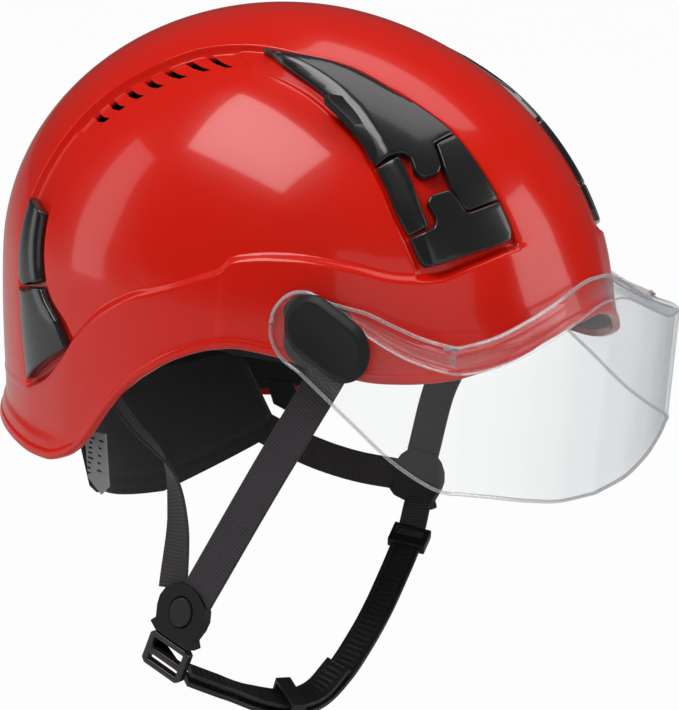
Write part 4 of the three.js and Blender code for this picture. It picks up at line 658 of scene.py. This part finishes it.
# ------------------------------------------------------------------ ribbons: webbing, rubber strap, pads
def through(P, n):
    P = np.array(P, float); m = len(P); t = np.r_[0, np.cumsum(np.linalg.norm(np.diff(P, axis=0), axis=1) ** 0.5)]
    ext = np.concatenate([[2 * P[0] - P[1]], P, [2 * P[-1] - P[-2]]]); T = np.r_[-(t[1]), t, 2 * t[-1] - t[-2]]
    out = []
    for q in np.linspace(0, t[-1], 900):
        i = min(max(int(np.searchsorted(t, q, side="right")) - 1, 0), m - 2) + 1
        p0, p1, p2, p3 = ext[i - 1:i + 3]; t0, t1, t2, t3 = T[i - 1:i + 3]
        A1 = (t1 - q) / (t1 - t0) * p0 + (q - t0) / (t1 - t0) * p1; A2 = (t2 - q) / (t2 - t1) * p1 + (q - t1) / (t2 - t1) * p2; A3 = (t3 - q) / (t3 - t2) * p2 + (q - t2) / (t3 - t2) * p3
        B1 = (t2 - q) / (t2 - t0) * A1 + (q - t0) / (t2 - t0) * A2; B2 = (t3 - q) / (t3 - t1) * A2 + (q - t1) / (t3 - t1) * A3
        out.append((t2 - q) / (t2 - t1) * B1 + (q - t1) / (t2 - t1) * B2)
    out = np.array(out); s = np.r_[0, np.cumsum(np.linalg.norm(np.diff(out, axis=0), axis=1))]
    q = np.linspace(0, s[-1], n + 1); return np.stack([np.interp(q, s, out[:, k]) for k in range(3)], 1)


def ribbon(name, path, width, thick, wdir, mat, node, body="helmet", h=0.5, prof="web", nu=12, ends=None, rib=None, sharp=50, resample=True):
    path = np.array(path, float); ln = np.sum(np.linalg.norm(np.diff(path, axis=0), axis=1)); n = max(8, int(ln / (h * 1)))
    C = through(path, n) if resample else path; n = len(C) - 1; f = np.linspace(0, 1, n + 1)
    s = np.r_[0, np.cumsum(np.linalg.norm(np.diff(C, axis=0), axis=1))]
    W = np.array([wdir(q) if callable(wdir) else wdir for q in f], float); T = unit(np.gradient(C, axis=0)); W = unit(W - T * (W * T).sum(1, keepdims=True)); K = np.cross(T, W)
    wd = np.array([width(q) if callable(width) else width for q in f], float)
    u = np.linspace(-1, 1, 2 * nu + 1); u = np.sign(u) * (1 - (1 - np.abs(u)) ** 1.35)
    V, UV = [], []
    tp = np.ones_like(u)
    if prof == "web": tp = np.sqrt(np.clip(1 - np.clip((np.abs(u) - 0.92) / 0.08, 0, 1) ** 2, 0.02, 1)) * (1 + 0.16 * np.exp(-((np.abs(u) - 0.88) / 0.06) ** 2))
    if prof == "pad": tp = np.clip(1 - np.abs(u) ** 2.6, 0.12, 1)
    if prof == "rubber": tp = np.sqrt(np.clip(1 - np.clip((np.abs(u) - 0.9) / 0.1, 0, 1) ** 2, 0.02, 1)) * (1 - 0.16 * sm((0.76 - np.abs(u)) / 0.05))
    for j in range(n + 1):
        e = 1.0
        if ends: e = np.sqrt(np.clip(1 - np.clip(1 - min(s[j], s[-1] - s[j]) / ends, 0, 1) ** 2, 0.02, 1))
        hh = thick / 2 * tp * e
        if rib: hh = hh + rib(s[j], u, wd[j])
        ww = wd[j] / 2 * (0.75 + 0.25 * e if prof == "pad" else 1)
        for sgn, uu in ((1, u), (-1, u[::-1])):
            hv = hh if sgn > 0 else hh[::-1]
            V.append(C[j] + W[j] * (uu * ww)[:, None] + K[j] * (sgn * hv)[:, None]); UV.append(np.stack([uu * ww / 1000, np.full(len(uu), s[j] / 1000)], 1))
    N_ = 2 * len(u); V = np.array(V).reshape(-1, 3); UV = np.array(UV).reshape(-1, 2); F = []
    for j in range(n):
        for i in range(N_): a, b = j * N_ + i, j * N_ + (i + 1) % N_; F.append((a, b, b + N_, a + N_))
    F.append(tuple(range(N_ - 1, -1, -1))); F.append(tuple(n * N_ + i for i in range(N_)))
    me = bpy.data.meshes.new(name); me.from_pydata([tuple(v) for v in to_m(V)], [], F); me.update()
    uvl = me.uv_layers.new(name="UVMap"); vi = np.zeros(len(me.loops), int); me.loops.foreach_get("vertex_index", vi); uvl.data.foreach_set("uv", UV[vi].astype(np.float32).ravel())
    bm = bmesh.new(); bm.from_mesh(me); bmesh.ops.recalc_face_normals(bm, faces=bm.faces)
    if bm.calc_volume(signed=True) < 0: bmesh.ops.reverse_faces(bm, faces=bm.faces)
    a = math.radians(sharp)
    for fc in bm.faces: fc.smooth = True
    for e_ in bm.edges:
        if len(e_.link_faces) == 2 and e_.calc_face_angle(0) > a: e_.smooth = False
    bm.to_mesh(me); bm.free()
    o = bpy.data.objects.new(name, me); bpy.context.scene.collection.objects.link(o); me.materials.append(mat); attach(o, body)
    if node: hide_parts(node)
    return o


web_rib = lambda s, u, w: 0.07 * np.sin(s * 2 * np.pi / 1.5) * sm((0.84 - np.abs(u)) / 0.03)
ribbon("strap_front_R_web", [[-81.8, -60.5, -12.6], [-82.4, -56, -22], [-82.6, -33, -66], [-82, -1.0, -129.0]], 17, 1.25, [0, 0.885, 0.47], WEB, "strap_front_R", h=0.36, rib=web_rib)
ribbon("strap_front_L_web", [[82.2, -37, -13.6], [84, -28, -30], [84.4, -15, -57], [79.2, -11.3, -91.6]], 17, 1.25, [0, 0.97, 0.2], WEB, "strap_front_L", h=0.36, rib=web_rib)
ribbon("strap_rear_R_web", [[-88, 54.4, -42], [-80, 42, -60], [-75, 25, -77], [-77, 16, -98], [-81, 12.6, -128.4]], 15, 1.25, lambda f: [math.sin((1 - f) * 1.15), math.cos((1 - f) * 1.15), 0.2], WEB, "strap_rear_R", h=0.36, rib=web_rib)
ribbon("strap_rear_L_web", [[56, 97, -81], [63, 83, -89], [71.4, 68.4, -97], [75.8, 46, -103], [78, 24, -105], [78.6, -1, -103.6]], 15, 1.25, lambda f: [0.35 * (1 - f), 0.15, 1], WEB, "strap_rear_L", h=0.36, rib=web_rib)

CHIN = [[-75.4, 6.4, -169.6], [-70, 1.4, -172.4], [-64, -3.7, -175.4], [-52, -12.5, -181], [-38, -23.6, -184], [-24, -28.5, -182], [-8, -30.5, -173.5], [8, -30.6, -161.5], [22, -29.2, -151], [42, -24.6, -138], [56, -20.4, -130.5]]
CHW = [0.05, 1, 0.3]
tooth = lambda s, u, w: 0.30 * (np.abs(((s / 3.0) % 1) - 0.5) * 2) ** 1.5 * sm((0.62 - np.abs(u)) / 0.05)
ribbon("chin_strap_rubber", CHIN, 14, 2.1, CHW, RUBBER, "chin_strap", h=0.6, prof="rubber", rib=tooth, nu=14)
UPP = []
for i in range(7):
    a, b = np.array(CHIN[max(0, i - 1)]), np.array(CHIN[i + 1]); d = unit(b - a); w = unit(np.array(CHW) - d * np.dot(d, CHW)); k = np.cross(d, w); sg = 1 if k[2] > 0 else -1
    UPP.append(np.array(CHIN[i]) + k * sg * (4.2 + (1.6 if i == 6 else 0)))
ribbon("chin_strap_tail_rubber", UPP, 13, 2.1, CHW, RUBBER, "chin_strap_tail", h=0.6, prof="rubber", rib=tooth, nu=14)

# cradle straps, brow pad and nape pad
hb = lambda A, z, o=0.0: np.array([(77 + o) * math.cos(math.radians(A)), 8 + (99 + o if math.sin(math.radians(A)) < 0 else 96 + o) * math.sin(math.radians(A)), z])
for nm, A1, A2, zt_ in (("mid", -180, 0, 85.4), ("front", -128, 38, 87.6), ("rear", -52, 142, 89.8)):
    p1, p2, C = hb(A1, 12.4, 1), hb(A2, 12.4, 1), []
    for i in range(41):
        f = -1 + 2 * i / 40; a = abs(f); e = p1 if f < 0 else p2; s_ = math.sin(a * math.pi / 2); z = 12.4 + (zt_ - 12.4) * max(0, math.cos(a * math.pi / 2)) ** 0.75
        C.append([e[0] * s_, YC + (e[1] - YC) * s_, z])
    nrm_ = [-(p2[1] - p1[1]), p2[0] - p1[0], 0]
    ribbon("crown_strap_%s_web" % nm, C, 18, 1.15, nrm_, WEB, "crown_strap_" + nm, h=0.9, rib=None)
pad_rib = lambda s, u, w: -0.9 * np.exp(-(((s % 14.0) - 7.0) / 0.9) ** 2) * (1 - np.abs(u) ** 4)
ribbon("brow_pad_fabric", [hb(-150 + 120 * i / 14, -8, -4.4) for i in range(15)], 22, 5.4, [0, 0, 1], PAD, "brow_pad", h=0.9, prof="pad", ends=6, rib=pad_rib)
NO, NK = np.array([0, 94.0, -94.0]), unit(np.array([0, 0.93, -0.36])); NJ = np.array([0, 0.361, 0.933]); NJ = unit(NJ - NK * np.dot(NJ, NK))
nape = lambda x, j, k: NO + np.array([x, 0, 0]) + NJ * j + NK * k
nc = [nape(72 * math.sin(a * 1.15), 4 + 6 * a * a, -32 * (1 - math.cos(a * 1.15)) - 6) for a in np.linspace(-1, 1, 21)]
ribbon("nape_pad_fabric", nc, lambda f: 58 - 14 * abs(2 * f - 1), 5.2, NJ, PAD, "nape_pad", h=1.0, prof="pad", ends=6, rib=lambda s, u, w: -0.7 * np.exp(-((np.abs(u) - 0.72) / 0.05) ** 2), nu=16)

# crown pad: quilted round pad
def crown_pad():
    n, rings = 64, np.r_[0.02, np.linspace(0.08, 0.9, 16), 0.95, 0.98, 1.0]; V, F = [], []
    for sgn in (1, -1):
        for r in rings:
            a = np.arange(n) / n * 2 * np.pi; x, y = 24 * r * np.cos(a), 24 * r * np.sin(a)
            q = 0.35 * (np.exp(-((x % 12 - 6) / 0.8) ** 2) + np.exp(-((y % 12 - 6) / 0.8) ** 2)); z = 1.6 * np.sqrt(max(0.0, 1 - r**6)) - q * (r < 0.93)
            V.append(np.stack([x, YC + y, 79.6 + sgn * z + (0 if sgn > 0 else 0)], 1))
    V = np.concatenate(V); R = len(rings)
    for k in range(2):
        b0 = k * R * n
        for j in range(R - 1):
            for i in range(n): a, b = b0 + j * n + i, b0 + j * n + (i + 1) % n; F.append((a, b, b + n, a + n))
        F.append(tuple(b0 + i for i in range(n)))
    for i in range(n): a, b = (R - 1) * n + i, (R - 1) * n + (i + 1) % n; F.append((a, b, b + R * n, a + R * n))
    V[:, 2] = np.maximum(V[:, 2], 78.0)
    make("crown_pad_fabric", V, F, PAD, "helmet", "crown_pad", sharp=70)


crown_pad()

# ------------------------------------------------------------------ the remaining moulded pieces: CAD shape with rounded edges
for nd, mt, sl, w in (("headband", BLACK_M, "matte_black", 0.3), ("ratchet_back", BLACK_M, "matte_black", 0.5), ("ratchet_housing", BLACK_M, "matte_black", 0.9), ("ratchet_pinion", BLACK_M, "matte_black", 0.15),
                      ("ratchet_knob", RUBBER, "rubber_black", 0.7), ("rack_R", BLACK_M, "matte_black", 0.2), ("rack_L", BLACK_M, "matte_black", 0.2), ("size_scale_R", GREY, "scale_grey", 0.2), ("size_scale_L", BLACK_M, "matte_black", 0.2),
                      ("nape_hanger_L", BLACK_M, "matte_black", 0.3), ("nape_hanger_R", BLACK_M, "matte_black", 0.3), ("strap_anchor_front_L", BLACK_M, "matte_black", 0.5), ("strap_anchor_front_R", BLACK_M, "matte_black", 0.5),
                      ("strap_anchor_rear_R", BLACK_M, "matte_black", 0.5), ("divider_R", BLACK_M, "matte_black", 0.9), ("divider_L", BLACK_M, "matte_black", 0.9), ("divider_pad_R", RUBBER, "rubber_black", 0.8), ("divider_pad_L", RUBBER, "rubber_black", 0.8),
                      ("ladder_buckle", BLACK_G, "matte_black", 0.8), ("keeper_loop", RUBBER, "rubber_black", 0.6), ("chin_adjuster", BLACK_M, "matte_black", 0.8), ("liner", FOAM, "foam_black", 0.8)):
    copy_node(nd, mt, w, 3)
for i in range(1, 7): copy_node("cradle_clip_%d" % i, BLACK_M, 0.6, 3)


def tick_bars(name, s, zc):
    V, F = [], []
    for row, (y0, dz) in enumerate(((70.2, 2.3), (63.8, 3.4))):
        for i in range(8 if row == 0 else 5):
            z = -74.4 - dz * i; y1 = y0 - (3.2 if i % 4 == 0 else 1.9) * (1 if row == 0 else 0.8); b0 = len(V)
            for y, e in ((y0, 0.0), (y1, 0.0)):
                x0 = 68.6 + (74.5 - y) * 0.2 + 1.4
                for (dx, dd) in ((-0.22, -0.34), (-0.3, -0.24), (-0.3, 0.24), (-0.22, 0.34), (1.32, 0.34), (1.42, 0.22), (1.42, -0.22), (1.32, -0.34)): V.append([s * (x0 + dx), y, (z + dd + 71.5) * zc - 71.5])
            for k in range(8): F.append((b0 + k, b0 + (k + 1) % 8, b0 + 8 + (k + 1) % 8, b0 + 8 + k))
            F.append(tuple(b0 + 7 - k for k in range(8))); F.append(tuple(b0 + 8 + k for k in range(8)))
    make(name, np.array(V), F, BLACK_M, "helmet", None, sharp=30)


tick_bars("scale_ticks_R", -1, 1.0)

# a visible webbing link from the buckle piece to the divider on the left side
ribbon("link_L_web", [[60.5, -19.5, -127.5], [68, -16.5, -121], [75, -13.5, -114], [77.5, -12.5, -110]], 13, 1.25, [0.05, 1, 0.3], WEB, None, h=0.36, rib=web_rib)


# ------------------------------------------------------------------ studio
def emit_area(name, loc, target, sx, sy, power, color=(1, 1, 1)):
    l = bpy.data.lights.new(name, "AREA"); l.shape = "RECTANGLE"; l.size, l.size_y, l.energy, l.color = sx, sy, power, color
    o = bpy.data.objects.new(name, l); bpy.context.scene.collection.objects.link(o); o.location = loc
    o.rotation_euler = (Vector(target) - Vector(loc)).to_track_quat("-Z", "Y").to_euler(); return o


AZ, EL, ROLL = math.radians(-57.5571), math.radians(13.4357), math.radians(5)
back = np.array([math.sin(AZ) * math.cos(EL), -math.cos(AZ) * math.cos(EL), math.sin(EL)]); rgt = np.array([math.cos(AZ), math.sin(AZ), 0]); up = np.cross(back, rgt)
r2 = math.cos(ROLL) * rgt + math.sin(ROLL) * up; u2 = -math.sin(ROLL) * rgt + math.cos(ROLL) * up
tgt = np.array([0, 0, 60.0]) + 1.2247 * r2 - 90.6787 * u2; pos = (tgt + back * 1400 - ORG) / 1000
cam = bpy.data.cameras.new("photo_camera"); co = bpy.data.objects.new("photo_camera", cam); bpy.context.scene.collection.objects.link(co)
cam.sensor_width = 36; cam.sensor_fit = "AUTO"; cam.lens = 3181.94 * 36 / 710; cam.clip_start, cam.clip_end = 0.05, 60
co.matrix_world = Matrix(((r2[0], u2[0], back[0], pos[0]), (r2[1], u2[1], back[1], pos[1]), (r2[2], u2[2], back[2], pos[2]), (0, 0, 0, 1)))
bpy.context.scene.camera = co


def at(r, u, b, c=(0, 0, -0.06)): return tuple(np.array(c) + r * rgt + u * np.array([0, 0, 1]) + b * np.array([back[0], back[1], 0]) / math.hypot(back[0], back[1]))


emit_area("key_box", at(-0.95, 1.45, 0.6), (0, 0, 0), 1.2, 0.85, 17)
emit_area("top_box", at(0.15, 1.7, -0.25), (0, 0, 0), 1.3, 0.9, 7)
emit_area("right_box", at(1.5, 0.55, 0.35), (0, 0, -0.02), 0.7, 1.5, 9)
emit_area("left_strip", at(-1.5, 0.15, -0.1), (0, 0, -0.05), 0.35, 1.3, 2.2)
emit_area("front_fill", at(0.3, 0.35, 1.9), (0, 0, -0.08), 1.6, 0.9, 3)

w = bpy.data.worlds.new("studio"); bpy.context.scene.world = w; w.use_nodes = True; nt = w.node_tree
bg = nt.nodes["Background"]; bg2 = N(nt, "ShaderNodeBackground"); lp = N(nt, "ShaderNodeLightPath"); mx = N(nt, "ShaderNodeMixShader")
tcw = N(nt, "ShaderNodeTexCoord"); sp = N(nt, "ShaderNodeSeparateXYZ"); mrw = N(nt, "ShaderNodeMapRange"); mrw.inputs[1].default_value = -0.6; mrw.inputs[2].default_value = 0.9; mrw.inputs[3].default_value = 0.16; mrw.inputs[4].default_value = 0.26
nt.links.new(tcw.outputs["Generated"], sp.inputs[0]); nt.links.new(sp.outputs[2], mrw.inputs[0]); gls = N(nt, "ShaderNodeMath", operation="MULTIPLY_ADD"); gls.inputs[1].default_value = -0.72; gls.inputs[2].default_value = 1.0; gm = N(nt, "ShaderNodeMath", operation="MULTIPLY"); nt.links.new(lp.outputs["Is Glossy Ray"], gls.inputs[0]); nt.links.new(gls.outputs[0], gm.inputs[0]); nt.links.new(mrw.outputs[0], gm.inputs[1]); nt.links.new(gm.outputs[0], bg.inputs["Strength"]); bg.inputs["Color"].default_value = (1, 1, 1, 1)
bg2.inputs["Color"].default_value = (1, 1, 1, 1); bg2.inputs["Strength"].default_value = 1.0
nt.links.new(lp.outputs["Is Camera Ray"], mx.inputs[0]); nt.links.new(bg.outputs[0], mx.inputs[1]); nt.links.new(bg2.outputs[0], mx.inputs[2]); nt.links.new(mx.outputs[0], nt.nodes["World Output"].inputs[0])

fl_m, fl_nt, fl_b = nodes_of("floor_pale"); fl_b.inputs["Base Color"].default_value = (0.62, 0.62, 0.62, 1); fl_b.inputs["Roughness"].default_value = 0.9
fl_b.inputs["Specular IOR Level"].default_value = 0.0
em = N(fl_nt, "ShaderNodeEmission"); em.inputs["Strength"].default_value = 1.0; lpf = N(fl_nt, "ShaderNodeLightPath"); mxf = N(fl_nt, "ShaderNodeMixShader"); mulf = N(fl_nt, "ShaderNodeMath", operation="MULTIPLY"); mulf.inputs[1].default_value = 0.97
fl_nt.links.new(lpf.outputs["Is Camera Ray"], mulf.inputs[0]); fl_nt.links.new(mulf.outputs[0], mxf.inputs[0]); fl_nt.links.new(fl_b.outputs[0], mxf.inputs[1]); fl_nt.links.new(em.outputs[0], mxf.inputs[2]); fl_nt.links.new(mxf.outputs[0], fl_nt.nodes["Material Output"].inputs[0])
fm = bpy.data.meshes.new("floor"); zf = -0.30; fm.from_pydata([(-9, -9, zf), (9, -9, zf), (9, 9, zf), (-9, 9, zf)], [], [(0, 1, 2, 3)]); fo = bpy.data.objects.new("floor", fm); bpy.context.scene.collection.objects.link(fo); fm.materials.append(fl_m)

bpy.context.scene.view_settings.view_transform = "Standard"
bpy.context.scene.view_settings.look = "None"

bpy.context.view_layer.update()
